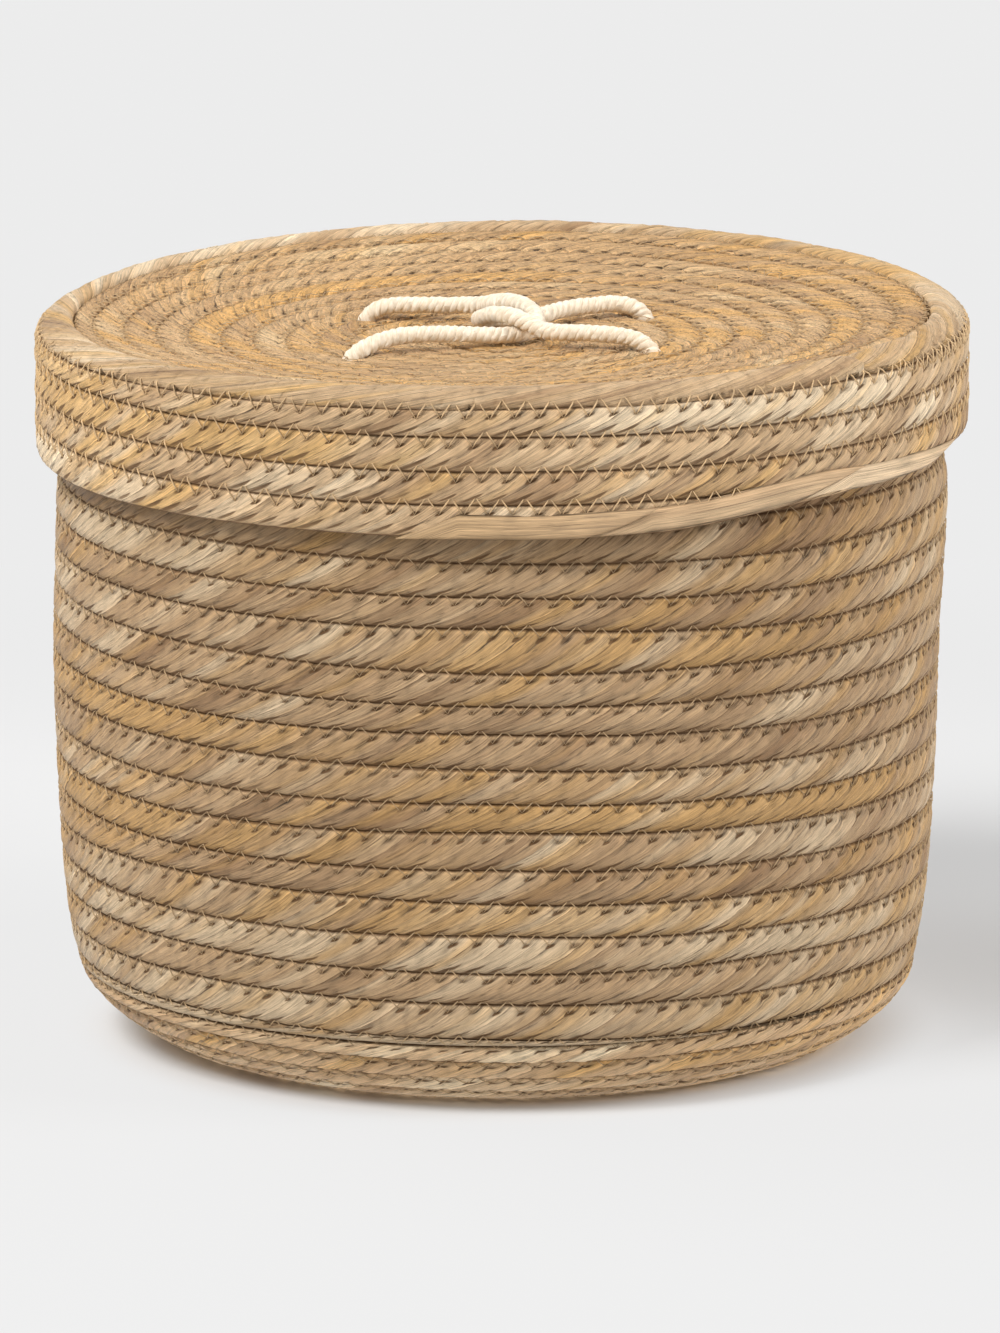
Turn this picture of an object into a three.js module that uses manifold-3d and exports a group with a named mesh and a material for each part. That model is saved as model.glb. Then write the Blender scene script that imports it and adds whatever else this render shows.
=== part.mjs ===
// Round storage basket coiled from flattened leaf rope, with an overlapping coiled lid.
// The lid lifts by two interlinked loops of twisted cotton rope.
// Millimetres, +Z up. The basket stands on the XY plane, its axis on Z, its front towards -Y.
import * as THREE from 'three';
import { mergeVertices } from 'three/addons/utils/BufferGeometryUtils.js';
import Module from 'manifold-3d';

const wasm = await Module();
wasm.setup();

// Basket
const bodyRadius = 132; // widest outer radius, two thirds of the way up
const bodyHeight = 206.1; // table to the top of the rim at the front
const wallPitch = 10.25; // one turn of rope to the next on the wall
const wallThickness = 7;
const wallGroove = 1.6; // depth of the valley between two turns
const basePitch = 9.1;
const baseThickness = 7;
const baseGroove = 1.5;
const baseTurnUp = 21.7; // height of the floor's turned-up rows
const bodySway = 1.8; // how far the belly leans over to the left
const swayFullHeight = 30; // where it has leant over
const swayEndHeight = 110; // where it starts to come back
const swayBackHeight = 165; // and where it is upright again
const lidDrawIn = 1.4; // how far the wall stays inside its widest radius, under the lid

// Lid
const skirtDepth = 43.4; // crown of the lid to the lower edge of its skirt
const skirtPitch = 9.6;
const skirtThickness = 6.4;
const skirtGroove = 1.5;
const skirtStep = 5.5; // how much higher the edge is just after the rope's end than before it
const edgeRound = 2.6; // rounding of the skirt's last turn and of the basket's rim
const crownHeight = 5.2; // rounded rim coil, from its own groove to its top
const crownWidth = 11.4;
const lidSlack = 0.8; // radial play between skirt and wall
const discPitch = 9.6;
const discThickness = 7;
const discGroove = 1.3;
const discSag = 8.2; // how far the middle of the lid hangs below its sewn edge
const dishPower = 3; // how steeply the disc turns up towards its edge
const crownStand = 1.6; // how far the rim coil stands above the disc's edge
const riseRightShare = 0.011; // the lid sits slightly askew, higher on the right
const riseBack = 7.6; // and its back is pulled up by this much, its front not at all

// Handle
const cordDiameter = 5.2;
const holeClearance = 0.5;
const knotWidth = 12.5;
const knotHeight = 13;
const knotTail = 6;

const clearance = 0.3; // between pieces that are sewn to or rest on each other
const weldDistance = 0.001; // corners nearer than this are one corner
const aroundSteps = 28;
const cordSides = 8;
const cordSteps = 42;
const knotSides = 10;
const halfTurn = Math.PI;
const fullTurn = 2 * Math.PI;

// Where the pieces meet
const discUnderside = bodyHeight + clearance;
const discEdgeTop = discUnderside + discThickness;
const lidCrown = discEdgeTop + crownStand;
const skirtInner = bodyRadius - lidDrawIn + lidSlack;
const skirtOuter = skirtInner + skirtThickness;
const crownInner = skirtOuter - crownWidth;
const discRadius = crownInner - clearance;
const crownGrooveHeight = lidCrown - crownHeight;

// One cross-section of a turn: share of the pitch, then 0 in the valley or 1 on the crest
const outerTurnShares = [[0, 0], [0.27, 1], [0.73, 1]];
const innerTurnShares = [[0, 0], [0.5, 1]];
const plainTurnShares = [[0, 1]];
// A turn that starts or ends thinner than this share of the pitch runs into the edge
const leastTurnShare = 0.09;

function lean(x, y) {
  return riseRightShare * x + riseBack * ((1 + y / skirtOuter) / 2) ** 2;
}

// The wall follows the lid's lean towards its rim and stands square at its foot
function wallLean(x, y, z) {
  return lean(x, y) * (z / bodyHeight) ** 3;
}

function smoothStep(share) {
  const held = Math.min(Math.max(share, 0), 1);
  return held * held * (3 - 2 * held);
}

// How far the soft body stands to the right of its axis at a height
function sway(z) {
  const out = smoothStep(z / swayFullHeight);
  const back = smoothStep((z - swayEndHeight) / (swayBackHeight - swayEndHeight));
  return -bodySway * out * (1 - back);
}

class TriangleSoup {
  constructor() {
    this.values = [];
  }

  quad(a, b, c, d) {
    this.values.push(...a, ...b, ...c, ...a, ...c, ...d);
  }

  // Closed body from the collected quads, with the collapsed ones left out
  geometry() {
    const loose = new THREE.BufferGeometry();
    loose.setAttribute('position', new THREE.Float32BufferAttribute(this.values, 3));
    const merged = mergeVertices(loose, weldDistance);
    const corners = merged.getIndex().array;
    const kept = [];
    for (let t = 0; t < corners.length; t += 3) {
      const [a, b, c] = [corners[t], corners[t + 1], corners[t + 2]];
      if (a !== b && b !== c && c !== a) kept.push(a, b, c);
    }
    merged.setIndex(kept);
    merged.computeVertexNormals();
    return merged;
  }
}

// A sewn sheet of rope turns. Rows run along the rope, so they spiral: each row gains one pitch
// over a full turn about Z. place(s, bulge, angle) gives the point at distance s along the
// section, and end(angle) the distance at which the sheet is cut.
function ropeSheet(soup, { place, pitch, turnShares, hand, startAngle, start, end, outward }) {
  const longest = Math.max(...steps().map((i) => end(angleAt(i))));
  const rowCount = (Math.ceil(longest / pitch) + 2) * turnShares.length;
  const point = (i, row) => {
    const angle = startAngle + angleAt(i);
    const turn = Math.floor(row / turnShares.length) - 1;
    const [share, bulge] = turnShares[row % turnShares.length];
    const along = pitch * (turn + share + (hand > 0 ? i / aroundSteps : 1 - i / aroundSteps));
    const finish = end(angle);
    if (along < start + leastTurnShare * pitch) return place(start, 1, angle);
    if (along > finish - leastTurnShare * pitch) return place(finish, 1, angle);
    return place(along, bulge, angle);
  };
  for (let i = 0; i < aroundSteps; i += 1) {
    for (let row = 0; row < rowCount; row += 1) {
      const corners = [point(i, row), point(i + 1, row), point(i + 1, row + 1), point(i, row + 1)];
      if (!outward) corners.reverse();
      soup.quad(...corners);
    }
  }
}

function steps() {
  return Array.from({ length: aroundSteps + 1 }, (_, i) => i);
}

function angleAt(i) {
  return (fullTurn * i) / aroundSteps;
}

// A band between two rings, each a function of the angle
function band(soup, startAngle, lower, upper) {
  for (let i = 0; i < aroundSteps; i += 1) {
    const here = startAngle + angleAt(i);
    const next = startAngle + angleAt(i + 1);
    soup.quad(lower(here), lower(next), upper(next), upper(here));
  }
}

function ring(radius, height, shift) {
  return (angle) => {
    const x = radius * Math.cos(angle);
    const y = radius * Math.sin(angle);
    return [x, y, height + shift(x, y, height)];
  };
}

// Point of a section curve at distance s, pushed in along its normal. The curve's ends named in
// levelEnds are cut level, so that the piece sewn on there meets them squarely.
function sectionPlace(curve, shift, levelEnds, inset) {
  const length = curve.getLength();
  return (s, bulge, angle) => {
    const u = Math.min(Math.max(s / length, 0), 1);
    const at = curve.getPointAt(u);
    const tangent = levelEnds.includes(u) ? { x: 0, y: 1 } : curve.getTangentAt(u);
    const depth = inset(bulge);
    const radius = at.x - tangent.y * depth;
    const height = at.y + tangent.x * depth;
    const x = radius * Math.cos(angle);
    const y = radius * Math.sin(angle);
    return [x + sway(height), y, height + shift(x, y, height)];
  };
}

// Floor: flat underneath, turned up at its edge
const contactRadiusShare = 0.7235;
const footRadiusShare = 0.9445;
const bendStartShare = 0.3; // how far out of its run the turn-up leaves the table
const bendInsetShare = 0.07; // of its run, how far in it stands where it is nearly upright
const bendHeightShare = 0.55; // and of its height, how high that is
const footRadius = bodyRadius * footRadiusShare;
const floorStartAngle = -halfTurn / 2;

function baseSection() {
  const contact = bodyRadius * contactRadiusShare;
  const run = footRadius - contact;
  const path = new THREE.Path();
  path.moveTo(0, 0);
  path.lineTo(contact, 0);
  path.bezierCurveTo(
    contact + run * bendStartShare, 0,
    footRadius - run * bendInsetShare, baseTurnUp * bendHeightShare,
    footRadius, baseTurnUp,
  );
  return path;
}

function baseGeometry() {
  const soup = new TriangleSoup();
  const section = baseSection();
  const length = section.getLength();
  const level = () => 0;
  const outside = sectionPlace(section, level, [1], (bulge) => baseGroove * (1 - bulge));
  const inside = sectionPlace(section, level, [1], (bulge) => baseThickness - baseGroove * (1 - bulge));
  const shared = { pitch: basePitch, hand: -1, startAngle: floorStartAngle, start: 0, end: () => length };
  const onAxis = (place) => (s, bulge, angle) => {
    const spot = place(s, bulge, angle);
    return s > 0 ? spot : [0, 0, spot[2]];
  };
  ropeSheet(soup, { ...shared, place: onAxis(outside), turnShares: outerTurnShares, outward: true });
  ropeSheet(soup, { ...shared, place: onAxis(inside), turnShares: innerTurnShares, outward: false });
  band(
    soup, floorStartAngle,
    (angle) => outside(length, 1, angle),
    (angle) => inside(length, 1, angle),
  );
  return soup.geometry();
}

// Wall: shares of the widest radius against shares of the wall's height, from foot to lid
const wallBellyShares = [
  [footRadiusShare, 0], [0.962, 0.06], [0.974, 0.13], [0.985, 0.24],
  [0.9935, 0.4], [0.998, 0.58], [1, 0.73], [0.9985, 0.79],
];
const wallNeckHeightShares = [0.84, 0.92, 1];
const neckInsetShares = [1, 1.5, 2.2]; // of lidDrawIn

function wallSection() {
  const foot = baseTurnUp + clearance;
  const top = bodyHeight - edgeRound;
  const points = wallBellyShares.map(([r, h]) => new THREE.Vector2(bodyRadius * r, foot + (top - foot) * h));
  wallNeckHeightShares.forEach((h, k) => {
    points.push(new THREE.Vector2(bodyRadius - lidDrawIn * neckInsetShares[k], foot + (top - foot) * h));
  });
  return new THREE.SplineCurve(points);
}

function wallGeometry() {
  const soup = new TriangleSoup();
  const section = wallSection();
  const length = section.getLength();
  const outside = sectionPlace(section, wallLean, [0, 1], (bulge) => wallGroove * (1 - bulge));
  const inside = sectionPlace(section, wallLean, [0, 1], (bulge) => wallThickness - wallGroove * (1 - bulge));
  const shared = { pitch: wallPitch, hand: -1, startAngle: floorStartAngle, start: 0, end: () => length };
  ropeSheet(soup, { ...shared, place: outside, turnShares: outerTurnShares, outward: true });
  ropeSheet(soup, { ...shared, place: inside, turnShares: innerTurnShares, outward: false });
  band(
    soup, floorStartAngle,
    (angle) => inside(0, 1, angle),
    (angle) => outside(0, 1, angle),
  );
  const rimRadius = section.getPointAt(1).x - wallThickness / 2;
  const rimTop = ring(rimRadius, bodyHeight, wallLean);
  band(soup, floorStartAngle, (angle) => outside(length, 1, angle), rimTop);
  band(soup, floorStartAngle, rimTop, (angle) => inside(length, 1, angle));
  return soup.geometry();
}

// Lid disc: a spiral that sags towards its middle, with four slanting holes for the handle
const ropeEndTurnShare = -0.12;
const skirtStartAngle = fullTurn * ropeEndTurnShare; // where the disc's rope ends

function discTop(radius) {
  return discEdgeTop - discSag * (1 - (radius / discRadius) ** dishPower);
}

function discPlace(drop) {
  return (s, bulge, angle) => {
    const radius = Math.min(s, discRadius);
    const x = radius * Math.cos(angle);
    const y = radius * Math.sin(angle);
    return [x, y, discTop(radius) - drop(bulge) + lean(x, y)];
  };
}

function discGeometry() {
  const soup = new TriangleSoup();
  const shared = { hand: 1, startAngle: skirtStartAngle, start: 0, end: () => discRadius };
  const top = discPlace((bulge) => discGroove * (1 - bulge));
  const under = discPlace(() => discThickness);
  ropeSheet(soup, { ...shared, pitch: discPitch, place: top, turnShares: innerTurnShares, outward: false });
  ropeSheet(soup, { ...shared, pitch: 2 * discPitch, place: under, turnShares: plainTurnShares, outward: true });
  band(
    soup, skirtStartAngle,
    (angle) => under(discRadius, 1, angle),
    (angle) => top(discRadius, 1, angle),
  );
  return soup.geometry();
}

// How far the skirt reaches below the rim coil's groove. Its last turn of rope follows the spiral
// down, and thins out over the share of a turn before its end.
const thinningShare = 0.1;

function skirtLength(angle) {
  const turned = (angle - skirtStartAngle) / fullTurn;
  const turnShare = turned - Math.floor(turned);
  const longest = crownGrooveHeight - (lidCrown - skirtDepth) - edgeRound;
  const thinned = (turnShare - 1 + thinningShare) / thinningShare;
  if (thinned > 0) return longest - skirtStep * smoothStep(thinned);
  return longest - skirtStep * (1 - smoothStep(turnShare / (1 - 2 * thinningShare)));
}

function skirtGeometry() {
  const soup = new TriangleSoup();
  const outside = (s, bulge, angle) => {
    const depth = skirtGroove * (1 - bulge);
    return ring(skirtOuter - depth, crownGrooveHeight - s, lean)(angle);
  };
  const inside = (s, bulge, angle) => {
    const depth = skirtGroove * (1 - bulge);
    return ring(skirtInner + depth, crownGrooveHeight - s, lean)(angle);
  };
  const shared = {
    pitch: skirtPitch, hand: 1, startAngle: skirtStartAngle, start: 0, end: skirtLength,
  };
  ropeSheet(soup, { ...shared, place: outside, turnShares: outerTurnShares, outward: false });
  const ledge = crownGrooveHeight - discUnderside;
  ropeSheet(soup, { ...shared, place: inside, turnShares: innerTurnShares, start: ledge, outward: true });

  const edgeMiddleShare = 0.55;
  const bottomEdge = (angle) => {
    const height = crownGrooveHeight - skirtLength(angle) - edgeRound;
    return ring(skirtOuter - skirtThickness * edgeMiddleShare, height, lean)(angle);
  };
  band(soup, skirtStartAngle, (angle) => inside(skirtLength(angle), 1, angle), bottomEdge);
  band(soup, skirtStartAngle, bottomEdge, (angle) => outside(skirtLength(angle), 1, angle));

  // Rim coil, from the skirt's first groove over the crown and down to the ledge on the rim
  const crownShares = [
    [0.1, 0.28], [0.25, 0.6], [0.44, 0.86], [0.66, 1], [0.84, 0.97], [0.95, 0.84], [1, 0.66],
  ];
  const rings = [
    (angle) => outside(0, 1, angle),
    ring(skirtOuter - skirtGroove, crownGrooveHeight, lean),
  ];
  crownShares.forEach(([across, up]) => {
    rings.push(ring(skirtOuter - crownWidth * across, crownGrooveHeight + crownHeight * up, lean));
  });
  rings.push(ring(crownInner, discUnderside, lean));
  rings.push(ring(skirtInner, discUnderside, lean));
  for (let k = 1; k < rings.length; k += 1) band(soup, skirtStartAngle, rings[k - 1], rings[k]);
  return soup.geometry();
}

// Handle cords: two limp loops, each out of two holes. x, y and height above the middle of the
// disc's top. The left route starts at its back hole and the right one at its front hole. The left
// loop rides over the right one at the back crossing and passes under it at the front crossing.
const leftRoute = [
  [-41.9, 33, -7.2], [-41.7, 33, -4.2], [-40.5, 32.8, -0.4], [-37.5, 32.2, 2.7],
  [-33, 31.3, 4.1], [-26.6, 30.4, 4.4], [-19, 29.8, 4.4], [-12, 28.2, 4.7],
  [-6.6, 25, 5.3], [-2, 20.4, 6.9], [1.6, 15.9, 8], [4.8, 11.7, 8.2],
  [7.7, 7.9, 7.6], [9.8, 3.9, 6.1], [10.2, -0.4, 4.6], [8.6, -4.4, 3.4],
  [5.3, -7.3, 2.8], [0.6, -9.5, 2.8], [-5, -11.4, 3.2], [-12, -13.8, 4.1],
  [-20, -16.8, 4.8], [-28, -19.6, 5.1], [-35, -22, 4.1], [-40.2, -23.9, 2.2],
  [-43.9, -25.2, -0.4], [-45.8, -25.8, -4.2], [-46.1, -25.9, -7.2],
];
const rightRoute = [
  [45.6, -20.2, -7.2], [45.3, -20.1, -4.2], [43.7, -19.8, -0.4], [40.4, -19.3, 2.4],
  [35.4, -18.8, 3.9], [29, -18.2, 4.6], [22.5, -17.2, 4.8], [17, -15.9, 4.7],
  [12.5, -14, 5], [8.2, -11.5, 6.3], [4, -8.8, 8.1], [-0.4, -5, 8.2],
  [-4.2, 0.4, 6.9], [-6.2, 4.6, 5.3], [-6.7, 8.4, 4.4], [-5.4, 11.8, 3.6],
  [-1.8, 14.1, 2.9], [4.4, 14.9, 2.7], [11.2, 17.6, 3.2], [16.2, 22.3, 3.8],
  [21.5, 26.2, 4], [28, 29.2, 4.1], [34.4, 30.9, 4], [39.6, 31.9, 2.4],
  [42.6, 32.4, -0.4], [43.9, 32.6, -4.2], [44.2, 32.6, -7.2],
];
const discMiddle = discEdgeTop - discSag;

function cordCurve(route) {
  const points = route.map(([x, y, above]) => (
    new THREE.Vector3(x, y, discMiddle + above + lean(x, y))
  ));
  return new THREE.CatmullRomCurve3(points, false, 'centripetal');
}

function roundSection(radius) {
  const shape = new THREE.Shape();
  for (let k = 0; k < cordSides; k += 1) {
    const angle = (fullTurn * k) / cordSides;
    const spot = [radius * Math.cos(angle), radius * Math.sin(angle)];
    if (k === 0) shape.moveTo(...spot);
    else shape.lineTo(...spot);
  }
  shape.closePath();
  return shape;
}

function tubeGeometry(curve, radius, stepCount) {
  const options = { extrudePath: curve, steps: stepCount, curveSegments: 1 };
  return new THREE.ExtrudeGeometry(roundSection(radius), options);
}

function toSolid(geometry) {
  const bare = geometry.clone();
  bare.deleteAttribute('normal');
  bare.deleteAttribute('uv');
  const merged = mergeVertices(bare, weldDistance);
  const vertProperties = new Float32Array(merged.getAttribute('position').array);
  const triVerts = new Uint32Array(merged.getIndex().array);
  return new wasm.Manifold(new wasm.Mesh({ numProp: 3, vertProperties, triVerts }));
}

function toGeometry(solid) {
  const mesh = solid.getMesh();
  const geometry = new THREE.BufferGeometry();
  geometry.setAttribute('position', new THREE.Float32BufferAttribute(mesh.vertProperties, 3));
  geometry.setIndex([...mesh.triVerts]);
  geometry.computeVertexNormals();
  return geometry;
}

// The end stretches of a cord, drawn longer and wider, are what cuts its holes
const holeSpotCount = 8;
const holeLengthShare = 0.2;

function holeCutter(curve, atEnd) {
  const spots = [];
  for (let k = 0; k <= holeSpotCount; k += 1) {
    const share = (holeLengthShare * k) / holeSpotCount;
    spots.push(curve.getPointAt(atEnd ? 1 - share : share));
  }
  const below = spots[0].clone();
  below.z -= discThickness;
  const cutCurve = new THREE.CatmullRomCurve3([below, ...spots], false, 'centripetal');
  return toSolid(tubeGeometry(cutCurve, cordDiameter / 2 + holeClearance, 2 * holeSpotCount));
}

function piercedDisc(curves) {
  let disc = toSolid(discGeometry());
  curves.forEach((curve) => {
    disc = disc.subtract(holeCutter(curve, false)).subtract(holeCutter(curve, true));
  });
  return toGeometry(disc);
}

// Stopper knot under the lid: three wraps of the cord, then its short tail
const knotWraps = 3;
const wrapValleyShare = 0.82; // of the knot's radius
const wrapEdgeShare = 0.12; // of one wrap's height

function knotGeometry() {
  const cord = cordDiameter / 2;
  const wide = knotWidth / 2;
  const valley = wide * wrapValleyShare;
  const wrap = knotHeight / knotWraps;
  const profile = [[0, 0], [cord, 0]];
  for (let k = 0; k < knotWraps; k += 1) {
    profile.push([valley, -wrap * (k + wrapEdgeShare)]);
    profile.push([wide, -wrap * (k + 1 / 2)]);
    profile.push([valley, -wrap * (k + 1 - wrapEdgeShare)]);
  }
  profile.push([cord, -knotHeight], [cord, -knotHeight - knotTail], [0, -knotHeight - knotTail]);
  const points = profile.reverse().map(([r, z]) => new THREE.Vector2(r, z));
  const lathe = new THREE.LatheGeometry(points, knotSides);
  lathe.rotateX(halfTurn / 2);
  return lathe;
}

function leafRope(color) {
  return new THREE.MeshStandardMaterial({ color, roughness: 0.78, metalness: 0 });
}

function cottonRope() {
  return new THREE.MeshStandardMaterial({ color: 0xe9ddc8, roughness: 0.9, metalness: 0 });
}

function named(name, geometry, material) {
  const mesh = new THREE.Mesh(geometry, material);
  mesh.name = name;
  return mesh;
}

const basket = new THREE.Group();
basket.add(named('base_coil', baseGeometry(), leafRope(0xb4935f)));
basket.add(named('wall_coil', wallGeometry(), leafRope(0xbd9c68)));

const leftCord = cordCurve(leftRoute);
const rightCord = cordCurve(rightRoute);
const lid = new THREE.Group();
lid.add(named('lid_disc_coil', piercedDisc([leftCord, rightCord]), leafRope(0xc3a06a)));
lid.add(named('lid_skirt_coil', skirtGeometry(), leafRope(0xc0a274)));
lid.add(named('handle_loop_left', tubeGeometry(leftCord, cordDiameter / 2, cordSteps), cottonRope()));
lid.add(named('handle_loop_right', tubeGeometry(rightCord, cordDiameter / 2, cordSteps), cottonRope()));

const knotSpots = [
  ['knot_left_back', leftCord, 0], ['knot_left_front', leftCord, 1],
  ['knot_right_front', rightCord, 0], ['knot_right_back', rightCord, 1],
];
const up = new THREE.Vector3(0, 0, 1);
knotSpots.forEach(([name, curve, share]) => {
  const knot = named(name, knotGeometry(), cottonRope());
  const intoCord = curve.getTangentAt(share);
  if (share > 0) intoCord.negate();
  knot.quaternion.setFromUnitVectors(up, intoCord);
  knot.position.copy(curve.getPointAt(share)).addScaledVector(intoCord, -clearance);
  lid.add(knot);
});

const group = new THREE.Group();
group.add(basket, lid);

export default group;
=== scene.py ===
"""Round storage basket coiled from leaf rope, with a coiled lid and a handle of two cotton loops.

Every coil is one long flattened rope that winds up its piece turn by turn, sewn to the turn
before it with a zigzag thread. Lengths are in metres, +Z up, the basket's front towards -Y.
"""
import math

import bpy
import numpy as np
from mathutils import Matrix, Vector


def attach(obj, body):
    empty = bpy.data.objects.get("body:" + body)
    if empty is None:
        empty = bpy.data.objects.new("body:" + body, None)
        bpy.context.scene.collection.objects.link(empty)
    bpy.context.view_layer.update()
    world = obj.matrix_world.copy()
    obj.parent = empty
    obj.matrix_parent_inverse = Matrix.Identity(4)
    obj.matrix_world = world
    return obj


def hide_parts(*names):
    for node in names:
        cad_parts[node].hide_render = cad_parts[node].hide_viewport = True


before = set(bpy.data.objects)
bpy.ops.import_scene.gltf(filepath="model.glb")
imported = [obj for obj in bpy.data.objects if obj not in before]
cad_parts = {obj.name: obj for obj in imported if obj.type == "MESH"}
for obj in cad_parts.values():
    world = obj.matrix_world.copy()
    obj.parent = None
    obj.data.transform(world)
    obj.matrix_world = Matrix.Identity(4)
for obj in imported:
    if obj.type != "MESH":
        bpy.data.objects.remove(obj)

bl_info = {
    "name": "Coiled lidded basket",
    "version": (1, 0, 0),
    "blender": (4, 5, 0),
    "location": "View3D > Sidebar > Basket",
    "description": "Builds a lidded basket coiled from leaf rope, with a cotton rope handle",
    "category": "Add Mesh",
}

TURN = 2 * math.pi
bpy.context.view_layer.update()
MM = 0.001

# Where a turn's edges and its row of needle holes lie, as shares of its width from its middle
EDGE_SHARE, HOLE_SHARE = 0.43, 0.27
# Shares of a turn's width from its middle, and of the valley's depth, across its outer face
OUTER_SHARES = ((-0.5, 1.08), (-EDGE_SHARE, 0.45), (-HOLE_SHARE, 0.1), (0.0, 0.0),
                (HOLE_SHARE, 0.1), (EDGE_SHARE, 0.45), (0.5, 1.08))
# The same across the inner face, from the far edge back
INNER_SHARES = ((0.47, 0.95), (0.28, 0.1), (-0.28, 0.1), (-0.47, 0.95))

# Angles in degrees between a strip and the rope at the turn's two seams
LAY_ANGLES = (19, 43)
# Strips differ in width: how far two slow waves shift their edges, and how fast each wave runs
STRIP_SWING, SWING_RATE = 0.28, 1.31
STRIP_FLUTTER, FLUTTER_RATE = 0.12, 3.3

# How deep a stitch pulls the rope in at the edge above a seam, at its upper hole and below the seam
EDGE_PIT, HOLE_PIT, FOOT_PIT = 0.0008, 0.0009, 0.0003
# How far it draws the two edges apart
EDGE_PULL, FOOT_PULL = 0.0004, 0.00014
# How a rope swells and tilts, and the lengths over which it does
SWELL, SWELL_RUN = 0.00022, 0.017
TILT, TILT_RUN = 0.0007, 0.045
# How far the disc is pushed down round each hole of the handle
HOLE_DIMPLE, DIMPLE_RADIUS = 0.0022, 0.0042
# How far a turn's edges reach past its seams, so that two turns meet
SEAM_LAP = 0.00012

# One zigzag of thread: share of a stitch, share of the reach to the holes above the seam (1) and
# below it (-1), and whether it dives into a hole
STITCH_PATH = ((0.0, -1.0, 1.0), (0.13, -0.42, 0.0), (0.37, 0.42, 0.0), (0.5, 1.0, 1.0),
               (0.63, 0.42, 0.0), (0.87, -0.42, 0.0))
# How unevenly the thread lies, how deep it dives into a hole and how far it stands off the leaf
THREAD_STRAY, THREAD_DIVE, THREAD_STAND = 0.00022, 0.00055, 0.00022

# Turns at the rope's start, below 0, and how far short of the section's end it stops
ROPE_START, ROPE_END_GAP = -0.88, 0.12
WALL_START = -1.14
# The turns between which the rim's rope is wound, ahead of the skirt's
RIM_START, RIM_END = -1.995, -0.985
# The turns where the sewing starts, which also holds the wall to the floor and the skirt to the rim
WALL_SEWN_FROM, FLAT_SEWN_FROM, SKIRT_SEWN_FROM = -1.95, -0.6, -1.98
# How far the seams stray from an even spiral
SEAM_WANDER, WALL_WANDER = 0.0004, 0.0005
# How far left and right of the front the wall's seams were measured, as a share of its radius
FRONT_SIDE = 0.73
# Rings of points to a stitch, on the basket and on the lid
PER_STITCH, FINE_PER_STITCH = 4, 6
# The sagging disc's grooves are this share of those in the CAD model
DISC_GROOVE_SHARE = 0.65
# The skirt is sewn with long stitches: seam to the holes above and below it, how much further
# they reach on the rim, and how thick and how pale the thread is against the other coils'
SKIRT_HOLES = (0.0026, 0.0028)
RIM_REACH = 1.5
SKIRT_THREAD_WEIGHT, SKIRT_THREAD_TONE = 1.5, 1.3

# How much lighter each piece's leaf is in red, green and blue, and how much its strips differ
# The lid's and the base's lighter tints are partly paler leaf and partly painted light: top light on the lid,
# floor light on the base
LEAF_LOOKS = {
    "wall_leaf": ((1, 1, 1), 1.0),
    "base_leaf": ((1.56, 1.6, 1.66), 0.85),
    "lid_leaf": ((1.56, 1.5, 1.36), 0.6),
    "skirt_leaf": ((1.36, 1.42, 1.5), 0.95),
    "loose_leaf": ((1.42, 1.5, 1.62), 0.7),
}
# The wall's lowest turns, up to this many, are paler: partly paler leaf, partly painted light from the floor
PALE_TURNS = 2.4

# Strands of a cord
STRANDS = 3

# Heights between which the belly leans over, stays so and comes back upright
SWAY_FULL, SWAY_END, SWAY_BACK = 0.03, 0.11, 0.165

# Place, width and power of each light
LIGHTS = {
    "light_left": ((-1.15, -1.2, 1.9), 0.9, 53),
    "light_right": ((1.7, -0.35, 0.9), 0.8, 24),
    "light_top": ((-0.9, 0.5, 1.7), 1.2, 12),
}
LIGHT_AIM = (0, 0, 0.12)
FLOOR_SIZE = 12


class BasketSizes(bpy.types.PropertyGroup):
    """Sizes of the basket, as in its CAD model"""
    body_radius: bpy.props.FloatProperty(
        name="Body radius", description="Widest outer radius of the wall", default=0.132, unit="LENGTH")
    body_height: bpy.props.FloatProperty(
        name="Body height", description="Table to the top of the rim at the front", default=0.2061,
        unit="LENGTH")
    wall_pitch: bpy.props.FloatProperty(
        name="Wall pitch", description="One turn of rope to the next", default=0.01025, unit="LENGTH")
    wall_thickness: bpy.props.FloatProperty(
        name="Wall thickness", description="Thickness of the wall's rope", default=0.007, unit="LENGTH")
    wall_groove: bpy.props.FloatProperty(
        name="Wall groove", description="Depth between two turns", default=0.0016, unit="LENGTH")
    base_pitch: bpy.props.FloatProperty(
        name="Base pitch", description="One turn of the floor to the next", default=0.0091, unit="LENGTH")
    base_thickness: bpy.props.FloatProperty(
        name="Base thickness", description="Thickness of the floor's rope", default=0.007, unit="LENGTH")
    base_groove: bpy.props.FloatProperty(
        name="Base groove", description="Depth between two turns of the floor", default=0.0015, unit="LENGTH")
    base_turn_up: bpy.props.FloatProperty(
        name="Turn-up", description="Height of the floor's turned-up rows", default=0.0217, unit="LENGTH")
    sway: bpy.props.FloatProperty(
        name="Sway", description="How far the belly leans over to the left", default=0.0018, unit="LENGTH")
    lid_draw_in: bpy.props.FloatProperty(
        name="Draw-in", description="How far the wall draws in under the lid", default=0.0014, unit="LENGTH")
    foot_share: bpy.props.FloatProperty(
        name="Foot radius", description="Radius at the foot, as a share of the body's", default=0.9445)
    contact_share: bpy.props.FloatProperty(
        name="Contact radius", description="Radius that rests on the table, as a share", default=0.7235)


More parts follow.
